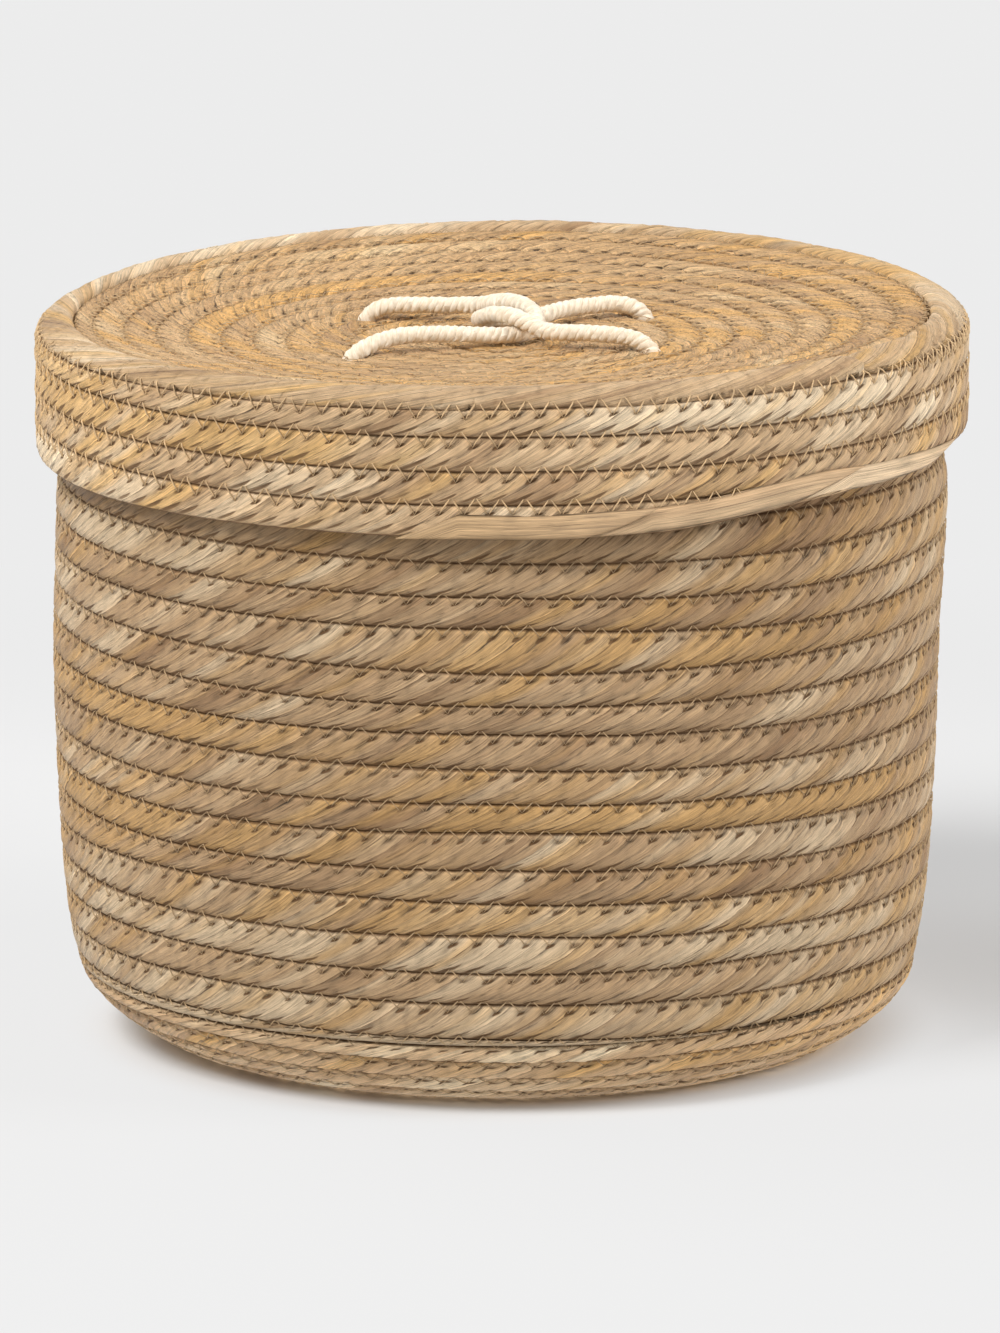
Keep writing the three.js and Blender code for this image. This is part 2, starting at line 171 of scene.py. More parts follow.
class LidSizes(bpy.types.PropertyGroup):
    """Sizes of the lid, as in its CAD model"""
    skirt_depth: bpy.props.FloatProperty(
        name="Skirt depth", description="Crown to the lower edge", default=0.0434, unit="LENGTH")
    skirt_pitch: bpy.props.FloatProperty(
        name="Skirt pitch", description="One turn of the skirt to the next", default=0.0096, unit="LENGTH")
    skirt_thickness: bpy.props.FloatProperty(
        name="Skirt thickness", description="Thickness of the skirt's rope", default=0.0064, unit="LENGTH")
    skirt_groove: bpy.props.FloatProperty(
        name="Skirt groove", description="Depth between two turns of the skirt", default=0.0015,
        unit="LENGTH")
    skirt_step: bpy.props.FloatProperty(
        name="Skirt step", description="Rise of the edge at the rope's end", default=0.0055, unit="LENGTH")
    thinning_share: bpy.props.FloatProperty(
        name="Thinning", description="Share of a turn over which the rope's end thins out", default=0.1)
    rope_end_share: bpy.props.FloatProperty(
        name="Rope end", description="Where the disc's rope ends, in turns from the right", default=-0.12)
    edge_round: bpy.props.FloatProperty(
        name="Edge rounding", description="Rounding of the last turns", default=0.0026, unit="LENGTH")
    crown_height: bpy.props.FloatProperty(
        name="Rim height", description="Rim coil, from its groove to its top", default=0.0052, unit="LENGTH")
    crown_width: bpy.props.FloatProperty(
        name="Rim width", description="Width of the rim coil", default=0.0114, unit="LENGTH")
    crown_stand: bpy.props.FloatProperty(
        name="Rim stand", description="Rim coil above the disc's edge", default=0.0016, unit="LENGTH")
    slack: bpy.props.FloatProperty(
        name="Slack", description="Play between the skirt and the wall", default=0.0008, unit="LENGTH")
    disc_pitch: bpy.props.FloatProperty(
        name="Disc pitch", description="One turn of the disc to the next", default=0.0096, unit="LENGTH")
    disc_thickness: bpy.props.FloatProperty(
        name="Disc thickness", description="Thickness of the disc's rope", default=0.007, unit="LENGTH")
    disc_groove: bpy.props.FloatProperty(
        name="Disc groove", description="Depth between two turns of the disc", default=0.0013, unit="LENGTH")
    disc_sag: bpy.props.FloatProperty(
        name="Disc sag", description="How far the middle hangs below the edge", default=0.0082, unit="LENGTH")
    lean_right: bpy.props.FloatProperty(
        name="Lean right", description="Rise of the lid to the right, as a share", default=0.011)
    rise_back: bpy.props.FloatProperty(
        name="Rise at the back", description="How far the lid's back is pulled up", default=0.0076,
        unit="LENGTH")
    clearance: bpy.props.FloatProperty(
        name="Clearance", description="Between pieces sewn to each other", default=0.0003, unit="LENGTH")


class HandleSizes(bpy.types.PropertyGroup):
    """Sizes of the two cotton loops and their knots"""
    cord_diameter: bpy.props.FloatProperty(
        name="Cord diameter", description="Across the three strands", default=0.0052, unit="LENGTH")
    lay_length: bpy.props.FloatProperty(
        name="Lay length", description="One full twist of a strand", default=0.0071, unit="LENGTH")
    knot_width: bpy.props.FloatProperty(
        name="Knot width", description="Across a stopper knot", default=0.0125, unit="LENGTH")
    knot_height: bpy.props.FloatProperty(
        name="Knot height", description="Height of a stopper knot", default=0.013, unit="LENGTH")
    knot_tail: bpy.props.FloatProperty(
        name="Tail", description="Cord left below a knot", default=0.006, unit="LENGTH")


class StitchSizes(bpy.types.PropertyGroup):
    """Sizes of the sewing, and of the leaf strips that it holds"""
    stitch: bpy.props.FloatProperty(
        name="Stitch length", description="One zigzag along the seam", default=0.007, unit="LENGTH")
    thread_radius: bpy.props.FloatProperty(
        name="Thread radius", description="Half the thread's thickness", default=0.00017, unit="LENGTH")
    hole_above: bpy.props.FloatProperty(
        name="Hole above", description="Seam to the holes in the turn above", default=0.0015, unit="LENGTH")
    hole_below: bpy.props.FloatProperty(
        name="Hole below", description="Seam to the holes in the turn below", default=0.0024, unit="LENGTH")
    strip_width: bpy.props.FloatProperty(
        name="Strip width", description="Mean run of one leaf strip along the rope", default=0.0085,
        unit="LENGTH")
    strip_relief: bpy.props.FloatProperty(
        name="Strip relief", description="How far one strip stands over the next", default=0.0004,
        unit="LENGTH")


class LeafColours(bpy.types.PropertyGroup):
    """Colours of the dried leaf, the thread and the cotton"""
    leaf_shade: bpy.props.FloatVectorProperty(
        name="Leaf, dark", description="Grey-brown strips", subtype="COLOR", size=4,
        default=(0.32, 0.187, 0.09, 1))
    leaf_tan: bpy.props.FloatVectorProperty(
        name="Leaf, tan", description="Most strips", subtype="COLOR", size=4,
        default=(0.49, 0.318, 0.168, 1))
    leaf_pale: bpy.props.FloatVectorProperty(
        name="Leaf, pale", description="Bleached strips", subtype="COLOR", size=4,
        default=(0.66, 0.494, 0.312, 1))
    leaf_honey: bpy.props.FloatVectorProperty(
        name="Leaf, honey", description="Yellow patches", subtype="COLOR", size=4,
        default=(0.56, 0.322, 0.108, 1))
    # Painted shade for the seams, the gaps under the strips' edges and the needle holes
    leaf_crevice_shade: bpy.props.FloatVectorProperty(
        name="Leaf, crack", description="Gaps, holes and bruises", subtype="COLOR", size=4,
        default=(0.135, 0.066, 0.024, 1))
    thread: bpy.props.FloatVectorProperty(
        name="Thread", description="Sewing thread", subtype="COLOR", size=4,
        default=(0.52, 0.36, 0.195, 1))
    thread_dull: bpy.props.FloatVectorProperty(
        name="Thread, dull", description="Darker stretches of the thread", subtype="COLOR", size=4,
        default=(0.36, 0.25, 0.14, 1))
    cotton: bpy.props.FloatVectorProperty(
        name="Cotton", description="Handle rope", subtype="COLOR", size=4,
        default=(0.86, 0.77, 0.63, 1))
    # Painted shade between the cotton's fibres
    cotton_shade: bpy.props.FloatVectorProperty(
        name="Cotton, shade", description="Between the fibres", subtype="COLOR", size=4,
        default=(0.72, 0.6, 0.44, 1))
    cotton_bright: bpy.props.FloatVectorProperty(
        name="Cotton, bright", description="Worn, fluffy stretches", subtype="COLOR", size=4,
        default=(0.9, 0.84, 0.74, 1))


class StageSizes(bpy.types.PropertyGroup):
    """Camera and light"""
    camera_distance: bpy.props.FloatProperty(
        name="Distance", description="Camera to the basket's axis", default=2.9, unit="LENGTH")
    camera_height: bpy.props.FloatProperty(
        name="Aim height", description="Height that the camera looks at", default=0.1083, unit="LENGTH")
    camera_aside: bpy.props.FloatProperty(
        name="Aim aside", description="How far right of the axis the camera looks", default=-0.0006,
        unit="LENGTH")
    camera_elevation: bpy.props.FloatProperty(
        name="Elevation", description="Angle of view above the horizon", default=math.radians(11.4),
        subtype="ANGLE")
    frame_width: bpy.props.FloatProperty(
        name="Frame width", description="Width of the view at the axis", default=0.2973, unit="LENGTH")
    backdrop: bpy.props.FloatVectorProperty(
        name="Backdrop", description="Pale grey all round", subtype="COLOR", size=4,
        default=(0.84, 0.84, 0.84, 1))
    floor_tone: bpy.props.FloatProperty(
        name="Floor tone", description="Grey of the floor where it shows shadows", default=0.655)
    floor_bounce: bpy.props.FloatProperty(
        name="Floor bounce", description="How brightly the floor lights the object from below", default=1.25)
    fill: bpy.props.FloatProperty(
        name="Fill", description="Strength of the even light from all round", default=0.36)


def smooth_noise(seed, at, octaves=1):
    """Smooth random values from -1 to 1 at the given places, one new value per unit."""
    at = np.asarray(at, float)
    total = np.zeros_like(at)
    reach = 0.0
    for octave in range(octaves):
        rng = np.random.default_rng(seed * 101 + octave)
        table = rng.uniform(-1, 1, 4096)
        place = at * 2 ** octave + 2048
        low = np.floor(place).astype(int)
        part = place - low
        part = part * part * (3 - 2 * part)
        total += (table[low % 4096] * (1 - part) + table[(low + 1) % 4096] * part) / 2 ** octave
        reach += 1 / 2 ** octave
    return total / reach


def smooth_step(share):
    """0 to 1 with soft ends."""
    share = np.clip(share, 0, 1)
    return share * share * (3 - 2 * share)


def running_total(steps):
    """0, and then the sum of the steps up to each."""
    return np.concatenate([[0], np.cumsum(steps)])


def distance_along(points):
    """Distance along a line of points up to each of them."""
    return running_total(np.linalg.norm(np.diff(points, axis=0), axis=1))


def unit(vectors):
    """The vectors at a length of 1."""
    return vectors / np.maximum(np.linalg.norm(vectors, axis=-1, keepdims=True), 1e-12)


def lid_lean(x, y, z):
    """How much higher the askew lid, and all that is sewn to it, stands at a place."""
    lid, basket = bpy.context.scene.lid_sizes, bpy.context.scene.basket_sizes
    reach = basket.body_radius - basket.lid_draw_in + lid.slack + lid.skirt_thickness
    return lid.lean_right * x + lid.rise_back * ((1 + y / reach) / 2) ** 2


def wall_lean(x, y, z):
    """The wall follows the lid's lean at its rim and less and less further down."""
    return lid_lean(x, y, z) * np.clip(z / bpy.context.scene.basket_sizes.body_height, 0, 1.2) ** 3


def no_lean(x, y, z):
    """Stands level everywhere."""
    return 0 * x


def no_sway(z):
    """Stands upright at every height."""
    return 0 * z


def body_sway(z):
    """How far the soft body stands to the right of its axis at a height."""
    back = smooth_step((z - SWAY_END) / (SWAY_BACK - SWAY_END))
    return -bpy.context.scene.basket_sizes.sway * smooth_step(z / SWAY_FULL) * (1 - back)


class Section:
    """A sewn sheet's outer face as a line of radius and height, by the distance along it.

    before and after are points of the faces that it is sewn to, for the thread to reach.
    """

    def __init__(self, line, inward, lean, sway=no_sway, before=(), after=()):
        points = np.array([*before, *line, *after], float)
        self.radius, self.height, self.lean, self.sway = points[:, 0], points[:, 1], lean, sway
        self.along = running_total(np.hypot(np.diff(self.radius), np.diff(self.height)))
        self.along -= self.along[len(before)]
        across_r = -np.gradient(self.height, self.along) * inward
        across_z = np.gradient(self.radius, self.along) * inward
        size = np.hypot(across_r, across_z)
        self.inward_r, self.inward_z = across_r / size, across_z / size
        self.length = self.along[len(before) + len(line) - 1]

    def place(self, along, depth, angle):
        """Points at a distance along the face and a depth below it."""
        along = np.clip(along, self.along[0], self.along[-1])
        radius = np.interp(along, self.along, self.radius)
        height = np.interp(along, self.along, self.height)
        radius = np.maximum(radius + depth * np.interp(along, self.along, self.inward_r), 0)
        height = height + depth * np.interp(along, self.along, self.inward_z)
        x, y = radius * np.cos(angle), radius * np.sin(angle)
        return np.stack([x + self.sway(height), y, height + self.lean(x, y, height)], axis=-1)


def bezier(a, b, c, d, count):
    """A curve from a to d, drawn towards b and c."""
    t = np.linspace(0, 1, count)[:, None]
    a, b, c, d = (np.array(p, float) for p in (a, b, c, d))
    return a * (1 - t) ** 3 + 3 * b * t * (1 - t) ** 2 + 3 * c * t ** 2 * (1 - t) + d * t ** 3


def spline(points, count):
    """A smooth line through the points."""
    p = np.array(points, float)
    p = np.concatenate([[p[0]], p, [p[-1]]])
    at = np.linspace(0, len(points) - 1, count)
    i = np.minimum(at.astype(int), len(points) - 2)
    t = (at - i)[:, None]
    p0, p1, p2, p3 = p[i], p[i + 1], p[i + 2], p[i + 3]
    v1, v2 = (p2 - p0) / 2, (p3 - p1) / 2
    return (2 * p1 - 2 * p2 + v1 + v2) * t ** 3 + (-3 * p1 + 3 * p2 - 2 * v1 - v2) * t ** 2 + v1 * t + p1


class Coil:
    """One rope wound along a section, each turn a pitch further on and sewn to the last.

    wound is the angle that the rope has turned through, and grows along it. A seam is the
    line between a turn and the next. hand is 1 where the rope runs anticlockwise seen from
    above, up is 1 where its turns rise or run outwards in the way that a viewer calls up, and
    slant is 1 where its strips lean to the right. start is the angle where wound is 0, and limit
    gives the furthest that the rope may lie along the section at an angle. Seams stray from an
    even spiral by wander, but at the basket's front by front_wander, a table in millimetres.
    """

    def __init__(self, section, pitch, thickness, groove, hand, start, limit, seed, last,
                 first=ROPE_START * TURN, up=1, slant=1, front_wander=(), wander=SEAM_WANDER, holes=None):
        self.section, self.pitch, self.thickness, self.groove = section, pitch, thickness, groove
        self.hand, self.start, self.limit, self.seed = hand, start, limit, seed
        self.first, self.last, self.up, self.slant = first, last, up, slant
        self.front_wander, self.wander = np.array(front_wander) * MM, wander
        sizes = bpy.context.scene.stitch_sizes
        self.hole_above, self.hole_below = holes or (sizes.hole_above, sizes.hole_below)
        self.dense = np.arange(first - 1.2 * TURN, last + 1.2 * TURN, 0.02)
        on_section = np.clip(self.seam(self.dense), 0, section.length)
        radius = np.interp(on_section, section.along, section.radius)
        self.run = running_total((radius[1:] + radius[:-1]) / 2 * np.diff(self.dense))

    def angle(self, wound):
        """Angle round the basket's axis."""
        return self.start + self.hand * wound

    def drift(self, wound):
        """How far a seam strays from an even spiral."""
        turns = wound / TURN
        stray = self.wander * smooth_noise(self.seed, turns * 5, 2)
        if len(self.front_wander):
            from_front = self.angle(wound) + TURN / 4
            # The table holds as far round as the photograph shows, and fades out beyond
            near_front = np.clip(1.6 * np.cos(from_front) - 0.2, 0, 1)
            rows = np.arange(self.front_wander.shape[1])
            nearest = np.clip(np.rint(turns).astype(int), 0, len(rows) - 1)
            at_row = np.abs(turns - nearest) < 0.3
            left, middle, right = (np.where(at_row, row[nearest], np.interp(turns, rows, row, 0, 0))
                                   for row in self.front_wander)
            side = np.clip(np.sin(from_front) / FRONT_SIDE, -1, 1)
            at_front = middle * (1 - np.abs(side)) + right * np.maximum(side, 0) - left * np.minimum(side, 0)
            stray = stray * (1 - near_front) + at_front * near_front
        return stray

    def seam(self, wound):
        """Distance along the section of the seam beyond the turn at this place."""
        even = self.pitch * (wound / TURN + 1)
        return np.clip(even + self.drift(wound + TURN), 0, self.limit(self.angle(wound)))

    def edges(self, wound):
        """Where the turn's two seams lie."""
        return self.seam(wound - TURN), self.seam(wound)

    def stitches(self, wound):
        """Stitches sewn up to this place along the seam beyond the turn."""
        return np.interp(wound, self.dense, self.run) / bpy.context.scene.stitch_sizes.stitch

    def wound_at(self, stitches):
        """The angle wound where so many stitches are sewn."""
        return np.interp(stitches * bpy.context.scene.stitch_sizes.stitch, self.run, self.dense)

    def rightward(self, wound):
        """Distance along the rope, growing to a viewer's right."""
        return self.hand * np.interp(wound, self.dense, self.run)


def strip_shift(share):
    """How far a leaf strip has run along the rope at a share of the turn's width, in widths."""
    table = np.linspace(-0.5, 0.5, 41)
    steepness = 1 / np.tan(np.radians(np.interp(table, (-0.5, 0.5), LAY_ANGLES)))
    run = running_total(0.5 * (steepness[1:] + steepness[:-1]) * np.diff(table))
    return np.interp(share, table, run)


def strip_number(across, seed):
    """Which strip lies at a distance across them: whole numbers are the strips' uneven edges."""
    even = across / bpy.context.scene.stitch_sizes.strip_width
    swing = STRIP_SWING * np.sin(SWING_RATE * even + seed)
    return even + swing + STRIP_FLUTTER * np.sin(FLUTTER_RATE * even + 2 * seed)


def read_all(items, field, kind, width=1):
    """One field of all of a mesh's vertices, corners or faces, as a flat array."""
    values = np.empty(width * len(items), kind)
    items.foreach_get(field, values)
    return values


def drawn_rope(name, lines, tips):
    """A sphere drawn out into a long closed rope: lines are its rings of points, tips its ends."""
    rings, sides = lines.shape[:2]
    bpy.ops.object.select_all(action="DESELECT")
    bpy.ops.mesh.primitive_uv_sphere_add(segments=sides, ring_count=rings + 1, radius=1, calc_uvs=False)
    rope = bpy.context.object
    rope.name = rope.data.name = name
    mesh = rope.data
    x, y, z = read_all(mesh.vertices, "co", np.float32, 3).reshape(-1, 3).astype(float).T
    ring = np.rint(np.arctan2(np.hypot(x, y), z) / math.pi * (rings + 1)).astype(int) - 1
    side = np.rint(np.arctan2(y, x) / TURN * sides).astype(int) % sides
    placed = lines[np.clip(ring, 0, rings - 1), side]
    placed[ring < 0] = tips[0]
    placed[ring >= rings] = tips[1]
    mesh.vertices.foreach_set("co", placed.astype(np.float32).ravel())
    mesh.update()
    if enclosed(mesh) < 0:
        mesh.flip_normals()
    bpy.ops.object.shade_smooth()
    return rope, ring, side


def enclosed(mesh):
    """Volume inside a closed mesh, below zero where its faces point inwards."""
    mesh.calc_loop_triangles()
    corners = read_all(mesh.loop_triangles, "vertices", np.int32, 3).reshape(-1, 3)
    spots = read_all(mesh.vertices, "co", np.float32, 3).reshape(-1, 3).astype(float)
    a, b, c = spots[corners].transpose(1, 0, 2)
    return float(np.einsum("ij,ij->i", a, np.cross(b, c)).sum() / 6)


def lay_map(rope, name, ring, side, across, along):
    """A UV map from values for each ring and side, with one more side where the tube closes."""
    mesh = rope.data
    rings, sides = across.shape[0], across.shape[1] - 1
    corner = read_all(mesh.loops, "vertex_index", np.int32)
    starts = read_all(mesh.polygons, "loop_start", np.int32)
    counts = read_all(mesh.polygons, "loop_total", np.int32)
    at_ring = np.clip(ring[corner], 0, rings - 1)
    at_side = side[corner]
    most = np.maximum.reduceat(at_side, starts)
    least = np.minimum.reduceat(at_side, starts)
    closing = np.repeat((most == sides - 1) & (least == 0), counts)
    at_side = np.where(closing & (at_side == 0), sides, at_side)
    values = np.stack([across[at_ring, at_side], along[at_ring, at_side]], axis=-1)
    layer = mesh.uv_layers.new(name=name)
    layer.data.foreach_set("uv", values.astype(np.float32).ravel())


def ring_phases(coil, wound_from, wound_to, per_stitch):
    """Even steps between two places, in stitches, so that every needle hole has a ring of points."""
    low, high = coil.stitches(wound_from), coil.stitches(wound_to)
    return np.arange(math.ceil(low * per_stitch), math.floor(high * per_stitch) + 1) / per_stitch


def coil_rope(name, coil, per_stitch=PER_STITCH, dimples=()):
    """The rope of a coil as one closed mesh, pitted where it is stitched and at the dimples."""
    sizes = bpy.context.scene.stitch_sizes
    far_is_top = coil.up > 0
    # Rings keep step with the stitches of the seam that a viewer calls the upper one
    back_turn = 0 if far_is_top else TURN
    phases = ring_phases(coil, coil.first - back_turn, coil.last - back_turn, per_stitch)
    wound = coil.wound_at(phases) + back_turn
    far_phase, near_phase = coil.stitches(wound), coil.stitches(wound - TURN)
    top_phase, foot_phase = (far_phase, near_phase) if far_is_top else (near_phase, far_phase)

    outer = np.array(OUTER_SHARES)
    inner = np.array(INNER_SHARES)
    share = np.concatenate([outer[:, 0], inner[:, 0]])
    valley = np.concatenate([outer[:, 1], inner[:, 1]]) * coil.groove
    inside = np.arange(len(share)) >= len(outer)

    # The strips cross the outer face, then the inner face the other way
    run = coil.rightward(wound)[:, None]
    lifted = coil.up * coil.slant * np.append(share, share[0])
    shift = coil.pitch * strip_shift(lifted)
    around = coil.pitch * strip_shift(0.5)
    back = np.append(inside, True)
    across = run - coil.slant * np.where(back, 2 * around - shift, shift)
    strip = strip_number(across, coil.seed)[:, :-1]

    near, far = (edge[:, None] for edge in coil.edges(wound))
    along = near + (share + 0.5) * (far - near)
    width_share = np.clip((far - near) / coil.pitch, 0, 1)
    along = along + np.sign(share) * (np.abs(share) > 0.49) * SEAM_LAP * width_share

    # Pits and scallops where the thread pulls the turn in, at the mesh's points close to each row
    close = 0.05
    top_hole = (0.5 + 0.5 * np.cos(TURN * top_phase))[:, None] ** 2
    foot_hole = (0.5 - 0.5 * np.cos(TURN * foot_phase))[:, None] ** 2
    lifted = coil.up * share
    at_top_edge, at_top_hole = np.abs(lifted - EDGE_SHARE) < close, np.abs(lifted - HOLE_SHARE) < close
    at_foot_edge = np.abs(lifted + EDGE_SHARE) < close
    uneven = 0.75 + 0.5 * smooth_noise(coil.seed + 3, top_phase * 0.7)[:, None]
    pit = uneven * (EDGE_PIT * at_top_edge * top_hole + HOLE_PIT * at_top_hole * top_hole
                    + FOOT_PIT * at_foot_edge * foot_hole)
    pull = EDGE_PULL * at_top_edge * top_hole - FOOT_PULL * at_foot_edge * foot_hole
    along = along - coil.up * pull * width_share

    bulge = 0.5 - 0.5 * np.cos(TURN * strip)
    stand = smooth_noise(coil.seed + 5, strip * 0.9)
    relief = sizes.strip_relief * (0.3 - bulge * 0.6 - 0.5 * stand)
    relief = relief * np.clip(1.15 - 2 * np.abs(share), 0.1, 1) * width_share
    swell = SWELL * smooth_noise(coil.seed + 7, run / SWELL_RUN + 0 * share, 2)
    tilt = TILT * smooth_noise(coil.seed + 9, run / TILT_RUN) * share * width_share
    inner_depth = coil.thickness - valley - pit * 0.8 - relief
    depth = np.where(inside, inner_depth, valley + pit + relief) + swell + tilt
    lines = coil.section.place(along, np.clip(depth, 0, coil.thickness), coil.angle(wound)[:, None])
    for x, y in dimples:
        apart = (lines[..., 0] - x) ** 2 + (lines[..., 1] - y) ** 2
        lines[..., 2] -= HOLE_DIMPLE * np.exp(-(apart / DIMPLE_RADIUS ** 2) ** 2) * ~inside
    rope, ring, side = drawn_rope(name, lines, (lines[0].mean(0), lines[-1].mean(0)))

    lay_map(rope, "lay", ring, side, across / MM, run / MM + 0 * across)
    height = 0 * across + coil.up * np.append(share, share[0]) * coil.pitch / MM
    stitches = np.where(back, -1, 1) * coil.slant / sizes.stitch
    for place, phase, hole in (("top", top_phase, 0.5 - coil.hole_below / coil.pitch),
                               ("foot", foot_phase, coil.hole_above / coil.pitch - 0.5)):
        to_hole = stitches * (coil.pitch * strip_shift(coil.slant * hole) - shift)
        lay_map(rope, place, ring, side, coil.hand * phase[:, None] + to_hole, height)
    return rope


def face_depth(coil, off_seam):
    """Depth of the outer face at a distance from a seam."""
    outer = np.array(OUTER_SHARES)[:4]
    return np.interp(np.abs(off_seam) / coil.pitch, outer[:, 0] + 0.5, outer[:, 1]) * coil.groove


def zigzag(name, coil, seam_from, seam_to, inside=False, first_reach=1.0, weight=1.0):
    """The sewing thread over a coil's seams, one long zigzag from hole to hole.

    first_reach is how many times further it reaches where the coil is sewn to its neighbour, and
    weight is how many times thicker it is than the other thread.
    """
    low, high = math.ceil(coil.stitches(seam_from)), math.floor(coil.stitches(seam_to))
    shares, reaches, dives = np.array(STITCH_PATH).T
    phase = (np.arange(low, high)[:, None] + shares).ravel()
    reach, dive = np.tile(reaches, high - low), np.tile(dives, high - low)
    wound = coil.wound_at(phase)
    above = coil.hole_above * np.where(wound < -TURN, first_reach, 1)
    off_seam = reach * np.where(reach > 0, above, coil.hole_below) * coil.up
    off_seam = off_seam + THREAD_STRAY * smooth_noise(coil.seed + 21, phase * 2.3)
    middle = coil.seam(wound)
    radius = bpy.context.scene.stitch_sizes.thread_radius * weight
    depth = face_depth(coil, off_seam) + dive * THREAD_DIVE - (1 - dive) * (radius + THREAD_STAND)
    if inside:
        depth = coil.thickness - depth
    points = coil.section.place(middle + off_seam, depth, coil.angle(wound))
    outward = points - coil.section.place(middle + off_seam, depth + 0.001, coil.angle(wound))
    if inside:
        outward = -outward
    return tube(name, points, outward, radius, 3)


def tube(name, points, outward, radius, sides, taper=None):
    """A round tube along the points, its radius times taper at each."""
    ahead = unit(np.gradient(points, axis=0))
    beside = unit(np.cross(ahead, outward))
    over = np.cross(beside, ahead)
    turn = np.arange(sides) / sides * TURN
    size = np.full(len(points), radius) if taper is None else radius * taper
    ring = np.cos(turn)[None, :, None] * over[:, None] + np.sin(turn)[None, :, None] * beside[:, None]
    lines = points[:, None] + size[:, None, None] * ring
    rope, ring, side = drawn_rope(name, lines, (points[0], points[-1]))
    run = distance_along(points)[:, None]
    round_it = np.arange(sides + 1)[None, :] / sides
    # Once round is 1, and a centimetre along it is 1
    lay_map(rope, "strand", ring, side, round_it + 0 * run, run * 100 + 0 * round_it)
    return rope


def cord_line(points, count):
    """An even line of points through a cord's route."""
    p = np.array(points, float)
    knots = running_total(np.linalg.norm(np.diff(p, axis=0), axis=1) ** 0.5)
    p = np.concatenate([[2 * p[0] - p[1]], p, [2 * p[-1] - p[-2]]])
    knots = np.concatenate([[2 * knots[0] - knots[1]], knots, [2 * knots[-1] - knots[-2]]])
    fine = []
    for i in range(1, len(p) - 2):
        t = np.linspace(knots[i], knots[i + 1], 24, endpoint=False)[:, None]
        k0, k1, k2, k3 = knots[i - 1:i + 3]
        a1 = (k1 - t) / (k1 - k0) * p[i - 1] + (t - k0) / (k1 - k0) * p[i]
        a2 = (k2 - t) / (k2 - k1) * p[i] + (t - k1) / (k2 - k1) * p[i + 1]
        a3 = (k3 - t) / (k3 - k2) * p[i + 1] + (t - k2) / (k3 - k2) * p[i + 2]
        b1 = (k2 - t) / (k2 - k0) * a1 + (t - k0) / (k2 - k0) * a2
        b2 = (k3 - t) / (k3 - k1) * a2 + (t - k1) / (k3 - k1) * a3
        fine.append((k2 - t) / (k2 - k1) * b1 + (t - k1) / (k2 - k1) * b2)
    fine = np.concatenate(fine + [p[-2][None]])
    run = distance_along(fine)
    even = np.linspace(0, run[-1], count)
    return np.stack([np.interp(even, run, fine[:, k]) for k in range(3)], axis=-1), run[-1]


def carried_frame(line):
    """A direction beside each point of a line that never spins round it."""
    ahead = unit(np.gradient(line, axis=0))
    beside = np.empty_like(line)
    beside[0] = unit(np.cross(ahead[0], (0.3, 0.9, 0.2)))
    for i in range(1, len(line)):
        beside[i] = unit(beside[i - 1] - ahead[i] * (beside[i - 1] @ ahead[i]))
    return beside, np.cross(ahead, beside)


def join_up(name, parts):
    """Joins pieces into the first of them."""
    bpy.ops.object.select_all(action="DESELECT")
    for part in parts:
        part.select_set(True)
    bpy.context.view_layer.objects.active = parts[0]
    bpy.ops.object.join()
    parts[0].name = parts[0].data.name = name
    return parts[0]


def laid_cord(name, line, length, handle, seed):
    """Three strands of cotton laid round each other along a line."""
    beside, over = carried_frame(line)
    run = np.linspace(0, length, len(line))
    # A strand's radius, and how far its middle lies from the cord's, as shares of the diameter
    strand_share, reach_share = 0.325, 0.175
    diameter = handle.cord_diameter
    strands = []
    for k in range(STRANDS):
        turn = -TURN * (run / handle.lay_length + k / STRANDS)
        uneven = 1 + 0.05 * smooth_noise(seed + k, run / 0.004)
        out = np.cos(turn)[:, None] * beside + np.sin(turn)[:, None] * over
        middle = line + out * (reach_share * diameter)
        strand = tube(f"{name}_strand_{k}", middle, out, strand_share * diameter, 10, taper=uneven)
        strands.append(strand)
    return join_up(name, strands)


